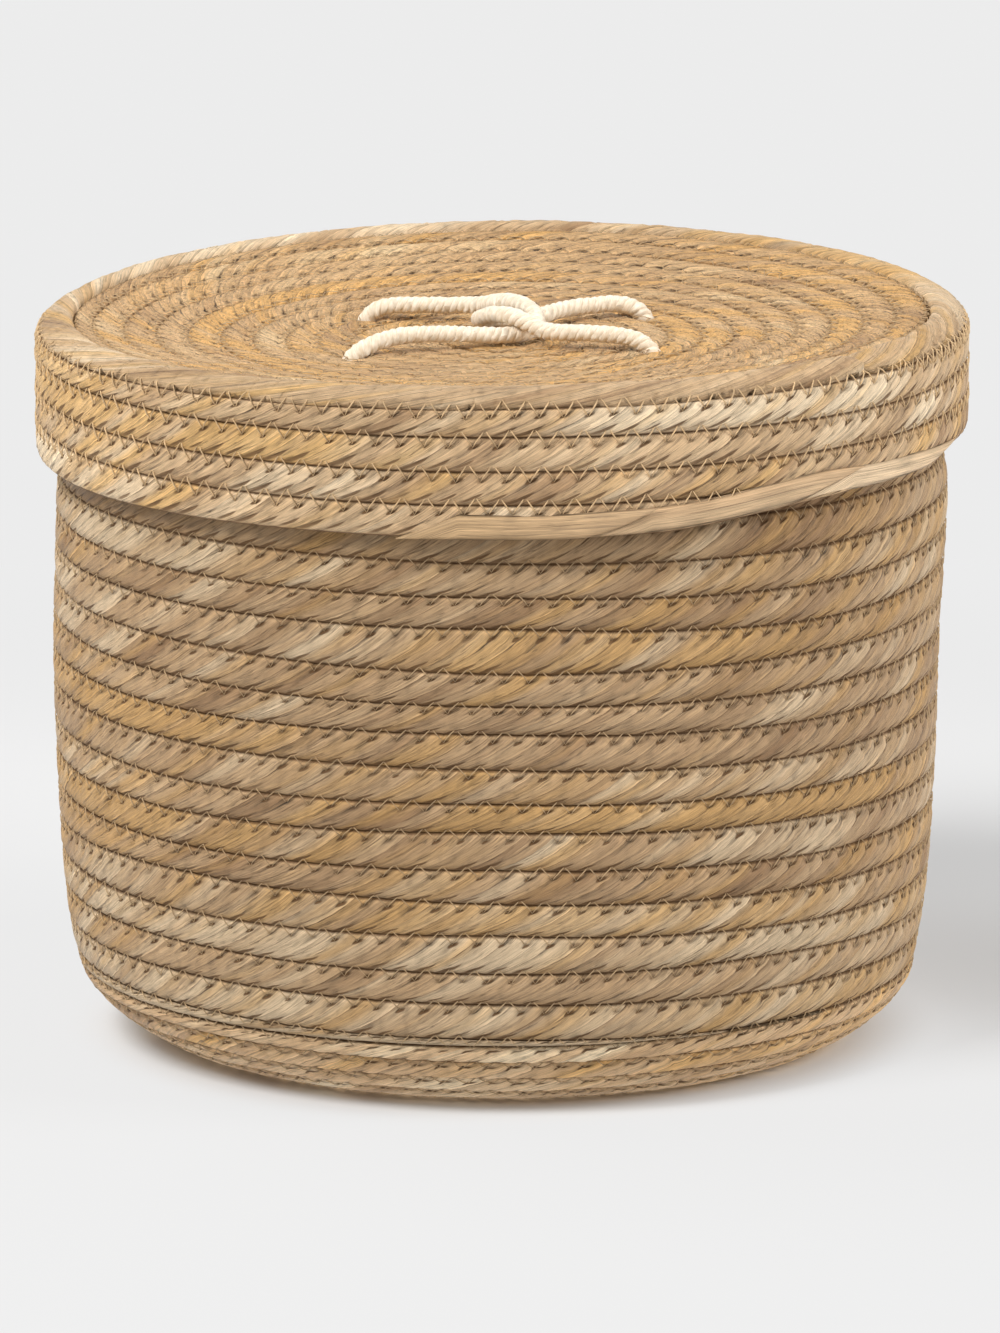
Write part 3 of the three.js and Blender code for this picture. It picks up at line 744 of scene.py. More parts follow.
class Wiring:
    """Adds nodes to a tree and joins them up."""

    def __init__(self, tree):
        self.tree = tree
        tree.nodes.clear()

    def add(self, kind, settings=(), inputs=()):
        """A new node with its settings and its inputs, which are values or other nodes' outputs."""
        node = self.tree.nodes.new(kind)
        for name, value in dict(settings).items():
            setattr(node, name, value)
        for name, value in dict(inputs).items():
            self.feed(node.inputs[name], value)
        return node

    def feed(self, socket, value):
        """Gives an input a value, or joins it to another node's output."""
        if isinstance(value, bpy.types.NodeSocket):
            self.tree.links.new(value, socket)
        else:
            socket.default_value = value

    def maths(self, operation, *values):
        """One step of arithmetic; "SINE", "MAXIMUM", "FRACT" and so on."""
        node = self.add("ShaderNodeMath", {"operation": operation}, dict(enumerate(values)))
        return node.outputs[0]

    def times(self, value, other):
        """The product of two values."""
        return self.maths("MULTIPLY", value, other)

    def total(self, first, *others):
        """The sum of all the values."""
        for other in others:
            first = self.maths("ADD", first, other)
        return first

    def rest(self, share):
        """What a share leaves of 1."""
        return self.maths("SUBTRACT", 1.0, share)

    def scaled(self, value, share, middle=0.0):
        """share times how far a value is from its middle."""
        return self.times(self.maths("SUBTRACT", value, middle), share)

    def rise(self, value, low, high):
        """0 below low, 1 above high, and smooth between."""
        node = self.add("ShaderNodeMapRange", {"interpolation_type": "SMOOTHSTEP"},
                        {"Value": value, "From Min": low, "From Max": high})
        return node.outputs["Result"]

    def blend(self, share, base, other, kind="MIX"):
        """Mixes a share of the other colour into the base colour."""
        node = self.add("ShaderNodeMix", {"data_type": "RGBA", "blend_type": kind},
                        {0: share, 6: base, 7: other})
        return node.outputs[2]

    def split(self, vector):
        """The first two values of a vector."""
        node = self.add("ShaderNodeSeparateXYZ", inputs={0: vector})
        return node.outputs[0], node.outputs[1]

    def along_noise(self, place, detail=1.0):
        """Smooth noise of one value, from 0 to 1."""
        node = self.add("ShaderNodeTexNoise", {"noise_dimensions": "1D"},
                        {"W": place, "Scale": 1.0, "Detail": detail})
        return node.outputs[0]

    def flat_noise(self, x, y, detail=1.0):
        """Smooth noise of two values, from 0 to 1."""
        place = self.add("ShaderNodeCombineXYZ", inputs={0: x, 1: y}).outputs[0]
        node = self.add("ShaderNodeTexNoise", {"noise_dimensions": "2D"},
                        {"Vector": place, "Scale": 1.0, "Detail": detail})
        return node.outputs[0]

    def draw(self, number):
        """Four unlike random values for each whole number."""
        node = self.add("ShaderNodeTexWhiteNoise", {"noise_dimensions": "1D"}, {"W": number})
        split = self.add("ShaderNodeSeparateColor", inputs={0: node.outputs["Color"]})
        return node.outputs["Value"], *split.outputs

    def uv(self, name):
        """A piece's UV map."""
        return self.add("ShaderNodeUVMap", {"uv_map": name}).outputs[0]


def new_group(name, inputs, outputs):
    """An empty shader group with named sockets, or None with the group if it is already built."""
    if name in bpy.data.node_groups:
        return None, bpy.data.node_groups[name], None
    tree = bpy.data.node_groups.new(name, "ShaderNodeTree")
    for in_out, sockets in (("INPUT", inputs), ("OUTPUT", outputs)):
        for socket_name, kind in sockets:
            tree.interface.new_socket(name=socket_name, in_out=in_out, socket_type="NodeSocket" + kind)
    wiring = Wiring(tree)
    return wiring, tree, wiring.add("NodeGroupInput").outputs


def leaf_lay_group():
    """Strips of dried leaf laid round a rope, with their fibres, edges, creases and needle holes.

    Lay is the distance across the strips and along the rope, Top and Foot count the stitches of
    the seam above and of the one below, with the height over the turn's middle. All lengths are
    in millimetres. Rough fades the strips into a puckered fleece.
    """
    floats = ("Seed", "Strips", "Pitch", "Stitch", "Holes below", "Holes above", "Contrast", "Rough",
              "Pale run")
    inputs = [(name, "Vector") for name in ("Lay", "Top", "Foot")] + [(name, "Float") for name in floats]
    inputs += [(name, "Color") for name in ("Shade", "Tan", "Pale", "Honey", "Crevice shade")]
    outputs = [("Color", "Color"), ("Roughness", "Float"), ("Height", "Float")]
    w, tree, given = new_group("leaf_lay", inputs, outputs)
    if w is None:
        return tree
    lay, run = w.split(given["Lay"])
    seed = given["Seed"]
    even = w.times(lay, given["Strips"])
    swing = w.maths("SINE", w.total(w.times(even, SWING_RATE), seed))
    flutter = w.maths("SINE", w.total(w.times(even, FLUTTER_RATE), seed, seed))
    strip = w.total(even, w.scaled(swing, STRIP_SWING), w.scaled(flutter, STRIP_FLUTTER))
    number, part = w.maths("FLOOR", strip), w.maths("FRACT", strip)
    draw_a, draw_b, draw_c, draw_d = w.draw(w.total(number, seed))

    def varied(place, rate, shift, detail=1.0):
        """Slow noise along the rope or across its strips, unlike on every other coil."""
        return w.along_noise(w.total(w.times(place, rate), seed, shift), detail)

    def fibrous(across, along, detail):
        """Noise drawn out along the strips, with so many spots a millimetre each way."""
        return w.flat_noise(w.times(lay, across), w.times(run, along), detail)

    def thin_line(noise, middle, half_width):
        """0 on the thin lines where a noise passes its middle and 1 beside them."""
        return w.rise(w.maths("ABSOLUTE", w.maths("SUBTRACT", noise, middle)), 0.0, half_width)

    # Long spans of one leaf's tone, shorter patches along the lay, and each strip's own
    span = w.scaled(varied(run, 0.007, 0.0, 2.0), 1.3, 0.5)
    patch = w.scaled(varied(even, 0.42, 71.3, 2.0), 1.05, 0.5)
    slow = w.scaled(varied(run, 0.0013, 48.0), 0.9, 0.5)
    # Paler over the wall's lowest turns: partly paler leaf, partly painted light from the floor
    paler_low_turns = w.rise(w.maths("SUBTRACT", given["Pale run"], w.maths("ABSOLUTE", run)), -120.0, 120.0)
    tone = w.total(span, patch, slow, w.scaled(draw_a, 0.42, 0.5), w.scaled(paler_low_turns, 0.36))
    tone = w.total(w.times(tone, given["Contrast"]), 0.5)
    colour = w.blend(w.rise(tone, 0.0, 0.55), given["Shade"], given["Tan"])
    colour = w.blend(w.rise(tone, 0.5, 1.05), colour, given["Pale"])
    golden = w.total(varied(run, 0.0032, 23.9, 2.0), w.scaled(varied(even, 0.5, 5.2), 0.7, 0.5))
    colour = w.blend(w.times(w.rise(golden, 0.44, 0.72), 0.75), colour, given["Honey"])

    # Fibres, hairs and folds run along the strips
    coarse = fibrous(0.95, 0.06, 2.0)
    fine = fibrous(2.9, 0.17, 2.0)
    hair = thin_line(fibrous(5.2, 0.12, 1.0), 0.5, 0.07)
    fold_line = w.flat_noise(w.total(w.times(lay, 0.5), 31.0), w.times(run, 0.035), 1.0)
    fold_line = thin_line(fold_line, 0.62, 0.022)
    grain_and_painted_light = w.total(1.0, w.scaled(coarse, 0.6, 0.5), w.scaled(fine, 0.6, 0.5), w.scaled(hair, 0.24, 1.0),
                    w.scaled(fold_line, 0.34, 1.0))
    blotch = w.rise(fibrous(0.16, 0.2, 3.0), 0.55, 0.75)

    # One edge of a strip lies over the next: a thin dark line of painted shade in the gap under it, which
    # comes and goes, a soft painted shadow beside it and a painted highlight along the strip's other edge
    line = w.rest(w.rise(part, 0.0, w.total(0.035, w.times(draw_d, 0.05))))
    line_shows = w.flat_noise(w.times(number, 3.7), w.times(run, 0.24), 1.0)
    line = w.times(line, w.rise(w.total(line_shows, w.scaled(draw_c, 0.3, 0.5)), 0.38, 0.6))
    shadow = w.scaled(w.rise(part, 0.0, 0.3), 0.2, 1.0)
    light = w.times(w.rise(part, 0.8, 0.97), w.times(draw_b, 0.24))
    grain_and_painted_light = w.total(grain_and_painted_light, shadow, light, w.scaled(blotch, -0.16))

    # Rough leaf is puckered, with dark marks between the puckers
    top_place, up = w.split(given["Top"])
    fleck = w.flat_noise(w.times(run, 0.38), w.times(up, 0.75), 3.0)
    pucker = w.times(w.rise(fleck, 0.36, 0.64), given["Rough"])
    mark = w.times(w.rise(fleck, 0.4, 0.3), given["Rough"])

    # Needle holes, each with a crease that runs from it along the lay, as masks for painted shade in the
    # holes and along the creases
    foot_place, _ = w.split(given["Foot"])
    half = w.times(given["Pitch"], 0.5)
    below_seam = w.maths("SUBTRACT", up, half)
    above = w.total(below_seam, given["Holes below"])
    hole, crease = pricked(w, top_place, above, given["Stitch"], w.total(seed, 5.0), 0.5, 0.62, -4.6)
    above = w.total(up, half, w.times(given["Holes above"], -1.0))
    nick, fold = pricked(w, w.total(foot_place, 0.5), w.times(above, -1.0), given["Stitch"],
                         w.total(seed, 9.0), 0.6, 1.3, -3.4)

    # Painted shade in the seams and in the dents where the leaf is drawn in at each stitch, and a painted
    # highlight along the turn's upper edge
    seam = w.rise(w.maths("SUBTRACT", w.maths("ABSOLUTE", up), half), -0.65, -0.1)
    stitch_dent_and_shade = w.scaled(w.maths("COSINE", w.times(top_place, TURN)), 0.5, -1.0)
    stitch_dent_and_shade = w.times(w.maths("POWER", stitch_dent_and_shade, 2.0), w.rise(below_seam, -3.4, -1.7))
    painted_edge_highlight = w.times(w.rise(below_seam, -1.5, -0.8), w.rest(w.rise(below_seam, -0.6, -0.25)))

    grain_and_painted_light = w.total(grain_and_painted_light, w.scaled(crease, -0.34), w.scaled(fold, -0.4), w.scaled(stitch_dent_and_shade, -0.34),
                    w.scaled(painted_edge_highlight, 0.14), w.scaled(mark, -0.42))
    # The grain multiplies the leaf's colour, with the painted shadows, shade and highlights worked into it
    colour = w.blend(1.0, colour, grain_and_painted_light, "MULTIPLY")
    # Painted shade, in the crevice colour, in the gaps under the strips' edges, in the seams and in the
    # needle holes
    painted_crevice_shade = w.maths("MAXIMUM", w.times(line, 0.6), w.times(seam, 0.85))
    pricks = w.times(w.maths("MAXIMUM", hole, w.times(nick, 0.9)), 0.9)
    painted_crevice_shade = w.times(w.maths("MAXIMUM", painted_crevice_shade, pricks), w.total(1.0, w.scaled(given["Rough"], -0.6)))
    colour = w.blend(painted_crevice_shade, colour, given["Crevice shade"])
    rough = w.total(0.52, w.scaled(coarse, 0.25, 0.3), w.scaled(painted_crevice_shade, 0.3))

    relief = [w.scaled(part, 0.16), w.scaled(coarse, 0.26, 0.5), w.scaled(fine, 0.2, 0.5)]
    for mask, share in ((pucker, 0.8), (hair, 0.05), (fold_line, 0.16), (line, -0.14), (hole, -0.4),
                        (nick, -0.25), (crease, -0.24), (fold, -0.16), (stitch_dent_and_shade, -0.5)):
        relief.append(w.scaled(mask, share))
    w.add("NodeGroupOutput", inputs={"Color": colour, "Roughness": rough, "Height": w.total(*relief)})
    return tree


def pricked(w, place, above, stitch, seed, wide, high, reach):
    """A needle hole at each whole place, and the crease below it that fades out by reach, as masks for
    painted shade.

    place counts stitches along the lay lines, above is the height over the row of holes, and wide
    and high are half the hole's size. Lengths are in millimetres.
    """
    nearest = w.total(place, 0.5)
    draw, _, strong, _ = w.draw(w.total(w.maths("FLOOR", nearest), seed))
    aside = w.maths("ABSOLUTE", w.maths("SUBTRACT", w.maths("FRACT", nearest), 0.5))
    # From a run along the rope to the distance across its slanting strips
    aside = w.times(w.times(aside, stitch), 0.55)
    size = w.total(0.7, w.times(draw, 0.6))
    narrowed = w.maths("MAXIMUM", w.total(w.scaled(above, 0.4), 1.0), 0.4)
    spread = w.maths("DIVIDE", aside, w.times(w.times(size, wide), narrowed))
    level = w.maths("MAXIMUM", w.scaled(above, 0.6), w.scaled(above, -1.0))
    depth = w.maths("DIVIDE", level, w.times(size, high))
    off_hole = w.total(w.maths("POWER", spread, 2.0), w.maths("POWER", depth, 2.0))
    hole = w.times(w.rest(w.rise(off_hole, 0.3, 1.3)), w.rise(strong, 0.0, 0.35))
    crease = w.times(w.rest(w.rise(aside, 0.05, 0.62)), w.rise(above, reach, -0.2))
    crease = w.times(crease, w.rest(w.rise(above, 0.1, 1.2)))
    return hole, w.times(crease, w.rise(draw, 0.05, 0.8))


def new_material(name):
    """An empty material and the wiring of its nodes."""
    material = bpy.data.materials.new(name)
    material.use_nodes = True
    return material, Wiring(material.node_tree)


def finish_material(w, settings, height, relief):
    """Ends a material: its surface, with relief metres of bump for a height of 1."""
    bump = w.add("ShaderNodeBump", inputs={"Height": height, "Distance": relief, "Strength": 1.0})
    shader = w.add("ShaderNodeBsdfPrincipled", inputs={**settings, "Normal": bump.outputs[0]})
    w.add("ShaderNodeOutputMaterial", inputs={"Surface": shader.outputs[0]})


def leaf_finish(name, coil, rough=0.0, pale_to=None):
    """Flat strips of dried leaf, wrapped and sewn, in the tint and contrast listed under the name.

    rough is how puckered and fleecy they are, so that the strips and seams hardly show. Up to
    pale_to, an angle wound, the leaf is paler: partly paler leaf, partly painted light from the floor.
    """
    tint, contrast = LEAF_LOOKS[name]
    pale_run = 0.0 if pale_to is None else np.interp(pale_to, coil.dense, coil.run) / MM
    colours, sizes = bpy.context.scene.leaf_colours, bpy.context.scene.stitch_sizes
    material, w = new_material(name)
    group = w.add("ShaderNodeGroup", {"node_tree": leaf_lay_group()})
    values = {"Lay": w.uv("lay"), "Top": w.uv("top"), "Foot": w.uv("foot"), "Seed": float(coil.seed),
              "Strips": MM / sizes.strip_width, "Pitch": coil.pitch / MM, "Stitch": sizes.stitch / MM,
              "Holes below": coil.hole_below / MM, "Holes above": coil.hole_above / MM, "Contrast": contrast,
              "Rough": rough, "Pale run": float(pale_run), "Crevice shade": colours.leaf_crevice_shade}
    for socket in ("Shade", "Tan", "Pale", "Honey"):
        leaf = getattr(colours, "leaf_" + socket.lower())
        values[socket] = (*(min(1.0, leaf[k] * tint[k]) for k in range(3)), 1.0)
    for socket, value in values.items():
        w.feed(group.inputs[socket], value)
    settings = {"Base Color": group.outputs["Color"], "Roughness": group.outputs["Roughness"],
                "Specular IOR Level": 0.35}
    finish_material(w, settings, group.outputs["Height"], MM)
    return material


def thread_finish(name, paler=1.0):
    """Matt twisted sewing thread, a little uneven in tone and so many times paler than usual."""
    material, w = new_material(name)
    _, run = w.split(w.uv("strand"))
    tone = w.along_noise(w.times(run, 1.9), 2.0)
    twist = w.maths("SINE", w.times(run, TURN * 9))
    colours = bpy.context.scene.leaf_colours
    bright, dull = ((*(paler * value for value in shade[:3]), 1)
                    for shade in (colours.thread, colours.thread_dull))
    colour = w.blend(w.rise(tone, 0.3, 0.75), bright, dull)
    rough = w.total(0.6, w.scaled(tone, 0.2))
    settings = {"Base Color": colour, "Roughness": rough, "Specular IOR Level": 0.3}
    finish_material(w, settings, twist, 0.03 * MM)
    return material


def cotton_finish(name):
    """Soft spun cotton: fine fibres along each strand and a faint fuzz."""
    material, w = new_material(name)
    round_it, run = w.split(w.uv("strand"))
    fibre = w.flat_noise(w.total(w.times(round_it, 16.0), w.times(run, 3.0)),
                         w.times(run, 7.0), 2.0)
    tone = w.along_noise(w.times(run, 2.1), 2.0)
    colours = bpy.context.scene.leaf_colours
    # Darker where the fibre noise is low, which is where the bump sinks: painted shade between the fibres
    colour = w.blend(w.rise(fibre, 0.25, 0.75), colours.cotton_shade, colours.cotton)
    colour = w.blend(w.times(w.rise(tone, 0.5, 0.8), 0.3), colour, colours.cotton_bright)
    rough = w.total(0.8, w.scaled(fibre, 0.15))
    settings = {"Base Color": colour, "Roughness": rough, "Sheen Weight": 0.25, "Specular IOR Level": 0.2}
    finish_material(w, settings, fibre, 0.16 * MM)
    return material


def finish_piece(piece, body, material, replaced=()):
    """Gives a piece its finish and its place on a body."""
    piece.data.materials.clear()
    piece.data.materials.append(material)
    if replaced:
        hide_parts(*replaced)
    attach(piece, body)


def sew(coil, faces, seam_from, seam_to, body, thread, first_reach=1.0, weight=1.0):
    """Sews a coil's seams on its outer and its inner face, which faces names in this order."""
    for name, inside in zip(faces, (False, True)):
        sewing = zigzag(name, coil, seam_from, seam_to, inside, 1.0 if inside else first_reach, weight)
        finish_piece(sewing, body, thread)


# Routes of the two loops, in millimetres: x, y and height above the middle of the disc. The left
# one starts at its back hole and the right one at its front hole.
LOOP_ROUTES = {
    "left": (
        (-41.9, 33, -7.2), (-41.7, 33, -4.2), (-40.5, 32.8, -0.4), (-37.5, 32.2, 2.7),
        (-33, 31.3, 4.1), (-26.6, 30.4, 4.4), (-19, 29.8, 4.4), (-12, 28.2, 4.7),
        (-6.6, 25, 5.3), (-2, 20.4, 6.9), (1.6, 15.9, 8), (4.8, 11.7, 8.2),
        (7.7, 7.9, 7.6), (9.8, 3.9, 6.1), (10.2, -0.4, 4.6), (8.6, -4.4, 3.4),
        (5.3, -7.3, 2.8), (0.6, -9.5, 2.8), (-5, -11.4, 3.2), (-12, -13.8, 4.1),
        (-20, -16.8, 4.8), (-28, -19.6, 5.1), (-35, -22, 4.1), (-40.2, -23.9, 2.2),
        (-43.9, -25.2, -0.4), (-45.8, -25.8, -4.2), (-46.1, -25.9, -7.2),
    ),
    "right": (
        (45.6, -20.2, -7.2), (45.3, -20.1, -4.2), (43.7, -19.8, -0.4), (40.4, -19.3, 2.4),
        (35.4, -18.8, 3.9), (29, -18.2, 4.6), (22.5, -17.2, 4.8), (17, -15.9, 4.7),
        (12.5, -14, 5), (8.2, -11.5, 6.3), (4, -8.8, 8.1), (-0.4, -5, 8.2),
        (-4.2, 0.4, 6.9), (-6.2, 4.6, 5.3), (-6.7, 8.4, 4.4), (-5.4, 11.8, 3.6),
        (-1.8, 14.1, 2.9), (4.4, 14.9, 2.7), (11.2, 17.6, 3.2), (16.2, 22.3, 3.8),
        (21.5, 26.2, 4), (28, 29.2, 4.1), (34.4, 30.9, 4), (39.6, 31.9, 2.4),
        (42.6, 32.4, -0.4), (43.9, 32.6, -4.2), (44.2, 32.6, -7.2),
    ),
}

# Strips that lie loose along the skirt's lower edge: from and to, in turns from the right, and
# how far their ends stand off
LOOSE_LEAVES = ((0.715, 0.801, 0.0016), (0.774, 0.883, 0.0022), (0.858, 0.952, 0.0006))

# Places in a route of the two points where the cord passes the disc's top
THROUGH_DISC = (2, -3)


def lid_levels():
    """Heights and radii that the lid's pieces share."""
    basket, lid = bpy.context.scene.basket_sizes, bpy.context.scene.lid_sizes
    under = basket.body_height + lid.clearance
    edge_top = under + lid.disc_thickness
    inner = basket.body_radius - basket.lid_draw_in + lid.slack
    outer = inner + lid.skirt_thickness
    crown = edge_top + lid.crown_stand
    return {
        "under": under, "edge_top": edge_top, "middle": edge_top - lid.disc_sag, "crown": crown,
        "crown_groove": crown - lid.crown_height, "skirt_outer": outer,
        "crown_inner": outer - lid.crown_width, "disc_radius": outer - lid.crown_width - lid.clearance,
    }


class BASKET_OT_camera(bpy.types.Operator):
    """Place the camera at the photograph's angle"""
    bl_idname = "basket.camera"
    bl_label = "Camera"

    def execute(self, context):
        stage = context.scene.stage_sizes
        aim = Vector((stage.camera_aside, 0, stage.camera_height))
        back = Vector((0, -math.cos(stage.camera_elevation), math.sin(stage.camera_elevation)))
        bpy.ops.object.camera_add(location=aim + back * stage.camera_distance)
        camera = context.object
        camera.name = "camera"
        camera.rotation_mode = "QUATERNION"
        camera.rotation_quaternion = (-back).to_track_quat("-Z", "Y")
        camera.data.sensor_fit = "HORIZONTAL"
        camera.data.lens = camera.data.sensor_width * stage.camera_distance / stage.frame_width
        camera.data.clip_start = 0.05
        camera.data.clip_end = 50
        context.scene.camera = camera
        return {"FINISHED"}


class BASKET_OT_handle(bpy.types.Operator):
    """Make the two linked loops of cotton rope and their stopper knots"""
    bl_idname = "basket.handle"
    bl_label = "Handle"

    def execute(self, context):
        handle = context.scene.handle_sizes
        cotton = cotton_finish("cotton_rope")
        middle = lid_levels()["middle"]
        for side, ends in (("left", ("back", "front")), ("right", ("front", "back"))):
            route = np.array(LOOP_ROUTES[side]) * MM
            route[:, 2] += middle + lid_lean(route[:, 0], route[:, 1], 0)
            line, length = cord_line(route, 300)
            loop = laid_cord(f"cotton_loop_{side}", line, length, handle, seed=5)
            finish_piece(loop, "lid", cotton, (f"handle_loop_{side}",))
            for place, end, inner in zip(ends, (0, -1), (1, -2)):
                name = f"knot_{side}_{place}"
                knot = stopper_knot("cotton_" + name, line[end], line[end] - line[inner], handle)
                finish_piece(knot, "lid", cotton, (name,))
        return {"FINISHED"}


def stopper_knot(name, top, down, handle):
    """Three wraps of the cord round itself, and its short tail."""
    wraps, ridges_a_wrap = 3, 9
    down = unit(down)
    beside = unit(np.cross(down, (0.2, 1, 0)))
    over = np.cross(down, beside)
    radius = handle.knot_height / wraps / 2
    reach = handle.knot_width / 2 - radius
    # The last wrap stops short of a full turn, where it goes under the one before
    turn = np.linspace(0, TURN * (wraps - 0.35), 78)
    drop = np.interp(turn, (turn[0], turn[-1]), (radius, handle.knot_height - radius * 1.05))
    out = np.cos(turn)[:, None] * beside + np.sin(turn)[:, None] * over
    ridges = 1 + 0.05 * np.cos(turn * ridges_a_wrap)
    wound = tube(name + "_wraps", top + out * reach + drop[:, None] * down, out, radius, 10, taper=ridges)
    run = np.linspace(0, handle.knot_height + handle.knot_tail, 40)
    line = top + run[:, None] * down
    core = laid_cord(name + "_tail", line, run[-1], handle, seed=11)
    return join_up(name, [wound, core])


def wall_coil():
    """The wall's rope, from under the floor's last row up to the hidden rim."""
    basket, lid = bpy.context.scene.basket_sizes, bpy.context.scene.lid_sizes
    foot = basket.base_turn_up + lid.clearance
    top = basket.body_height - lid.edge_round
    # Radius as a share of the widest and height as a share of the wall's, then how many times the
    # draw-in the wall stands back under the lid
    belly = ((basket.foot_share, 0), (0.962, 0.06), (0.974, 0.13), (0.985, 0.24),
             (0.9935, 0.4), (0.998, 0.58), (1, 0.73), (0.9985, 0.79))
    points = [(basket.body_radius * r, foot + (top - foot) * h) for r, h in belly]
    for inset, h in ((1, 0.84), (1.5, 0.92), (2.2, 1)):
        points.append((basket.body_radius - basket.lid_draw_in * inset, foot + (top - foot) * h))
    line = spline(points, 400)
    line = np.concatenate([line, [(line[-1, 0], basket.body_height)]])
    section = Section(line, 1, wall_lean, body_sway, before=turn_up()[-12:])
    # How far the seams stray from an even spiral at the left, middle and right of the front, from the
    # foot up and in millimetres
    front = (
        (1.8, 2.3, 1.7, 0.6, 3.0, 0.2, 0, -0.8, 0.6, -0.2, -1.2, -0.7, 0.1, -0.9, -0.2, 0.6, 0.2, 0, 0),
        (1.6, 2.8, 1.7, 3.1, 2.4, 2.0, 3.0, 1.0, 0.6, 1.0, -1.2, -2.2, 1.0, -0.3, -0.8, 0.4, 0.2, 0, 0),
        (0.6, 1.7, 2.0, 0.3, 0.3, -0.1, 0.6, -0.8, -1.2, -1.4, -2.1, -1.9, -3.0, -2.8, -2.0, -0.6, 0, 0, 0),
    )
    turns = section.length / basket.wall_pitch - ROPE_END_GAP
    return Coil(section, basket.wall_pitch, basket.wall_thickness, basket.wall_groove, hand=-1,
                start=-TURN / 4, limit=lambda angle: section.length, seed=11, last=TURN * turns,
                first=WALL_START * TURN, front_wander=front, wander=WALL_WANDER)


def turn_up():
    """The floor's outer face from where it leaves the table to the wall's foot."""
    basket = bpy.context.scene.basket_sizes
    contact, foot = (basket.body_radius * share for share in (basket.contact_share, basket.foot_share))
    run, rise = foot - contact, basket.base_turn_up
    return bezier((contact, 0), (contact + run * 0.3, 0), (foot - run * 0.07, rise * 0.55), (foot, rise), 60)


def base_coil():
    """The floor's rope, from the middle out and up to the wall's foot."""
    basket = bpy.context.scene.basket_sizes
    bend = turn_up()
    line = np.concatenate([[(r, 0) for r in np.linspace(0, bend[0, 0], 80, endpoint=False)], bend])
    section = Section(line, 1, no_lean, body_sway)
    turns = section.length / basket.base_pitch - ROPE_END_GAP
    return Coil(section, basket.base_pitch, basket.base_thickness, basket.base_groove, hand=-1,
                start=-TURN / 4, limit=lambda angle: section.length, seed=23, last=TURN * turns,
                slant=-1)


def disc_coil():
    """The rope of the lid's top, from the sagging middle out to the rim."""
    lid, levels = bpy.context.scene.lid_sizes, lid_levels()
    radius = np.linspace(0, levels["disc_radius"], 120)
    height = levels["edge_top"] - lid.disc_sag * (1 - (radius / levels["disc_radius"]) ** 3)
    rim = rim_profile()[4:9][::-1]
    section = Section(list(zip(radius, height)), -1, lid_lean, after=rim)
    turns = section.length / lid.disc_pitch - ROPE_END_GAP
    return Coil(section, lid.disc_pitch, lid.disc_thickness, DISC_GROOVE_SHARE * lid.disc_groove, hand=1,
                start=TURN * lid.rope_end_share, limit=lambda angle: section.length, seed=37,
                last=TURN * turns, up=-1)


def skirt_coil():
    """The rope of the lid's skirt, from under the rim down to the edge."""
    lid, levels = bpy.context.scene.lid_sizes, lid_levels()
    depth = levels["crown_groove"] - (levels["crown"] - lid.skirt_depth)
    drops = np.linspace(0, depth + 0.004, 60)
    line = [(levels["skirt_outer"], levels["crown_groove"] - drop) for drop in drops]
    section = Section(line, -1, lid_lean, before=rim_profile()[1:6][::-1])
    whole_turns = math.floor(depth / lid.skirt_pitch)

    def lower_edge(angle):
        """The edge steps up where the rope ends, and sinks again once round."""
        turned = (angle / TURN - lid.rope_end_share) % 1
        descended = smooth_step(turned / (1 - 2 * lid.thinning_share))
        thinned = smooth_step((turned - 1 + lid.thinning_share) / lid.thinning_share)
        return depth - lid.skirt_step * np.where(thinned > 0, thinned, 1 - descended)

    return Coil(section, lid.skirt_pitch, lid.skirt_thickness, lid.skirt_groove, hand=1,
                start=TURN * lid.rope_end_share, limit=lower_edge, seed=41, last=TURN * whole_turns,
                up=-1, holes=SKIRT_HOLES)


class BASKET_OT_wall(bpy.types.Operator):
    """Wind the wall from one long leaf rope and sew it"""
    bl_idname = "basket.wall"
    bl_label = "Wall"

    def execute(self, context):
        coil = wall_coil()
        leaf = leaf_finish("wall_leaf", coil, pale_to=PALE_TURNS * TURN)
        rope = coil_rope("leaf_wall_coil", coil)
        finish_piece(rope, "basket", leaf, ("wall_coil",))
        sew(coil, ("wall_thread_outside", "wall_thread_inside"), WALL_SEWN_FROM * TURN, coil.last - TURN,
            "basket", thread_finish("wall_thread"))
        return {"FINISHED"}


class BASKET_OT_base(bpy.types.Operator):
    """Wind the floor and its turned-up edge and sew them"""
    bl_idname = "basket.base"
    bl_label = "Base"

    def execute(self, context):
        coil = base_coil()
        leaf = leaf_finish("base_leaf", coil)
        rope = coil_rope("leaf_base_coil", coil)
        finish_piece(rope, "basket", leaf, ("base_coil",))
        sew(coil, ("base_thread_outside", "base_thread_inside"), FLAT_SEWN_FROM * TURN, coil.last - TURN,
            "basket", thread_finish("base_thread"))
        return {"FINISHED"}


class BASKET_OT_lid_disc(bpy.types.Operator):
    """Wind the lid's top, press it in at the handle's holes and sew it"""
    bl_idname = "basket.lid_disc"
    bl_label = "Lid top"

    def execute(self, context):
        coil = disc_coil()
        leaf = leaf_finish("lid_leaf", coil, rough=1.0)
        holes = [np.array(route[k][:2]) * MM for route in LOOP_ROUTES.values() for k in THROUGH_DISC]
        rope = coil_rope("leaf_lid_disc_coil", coil, per_stitch=FINE_PER_STITCH, dimples=holes)
        finish_piece(rope, "lid", leaf, ("lid_disc_coil",))
        sew(coil, ("lid_thread_top", "lid_thread_under"), FLAT_SEWN_FROM * TURN, coil.last,
            "lid", thread_finish("lid_thread"))
        return {"FINISHED"}


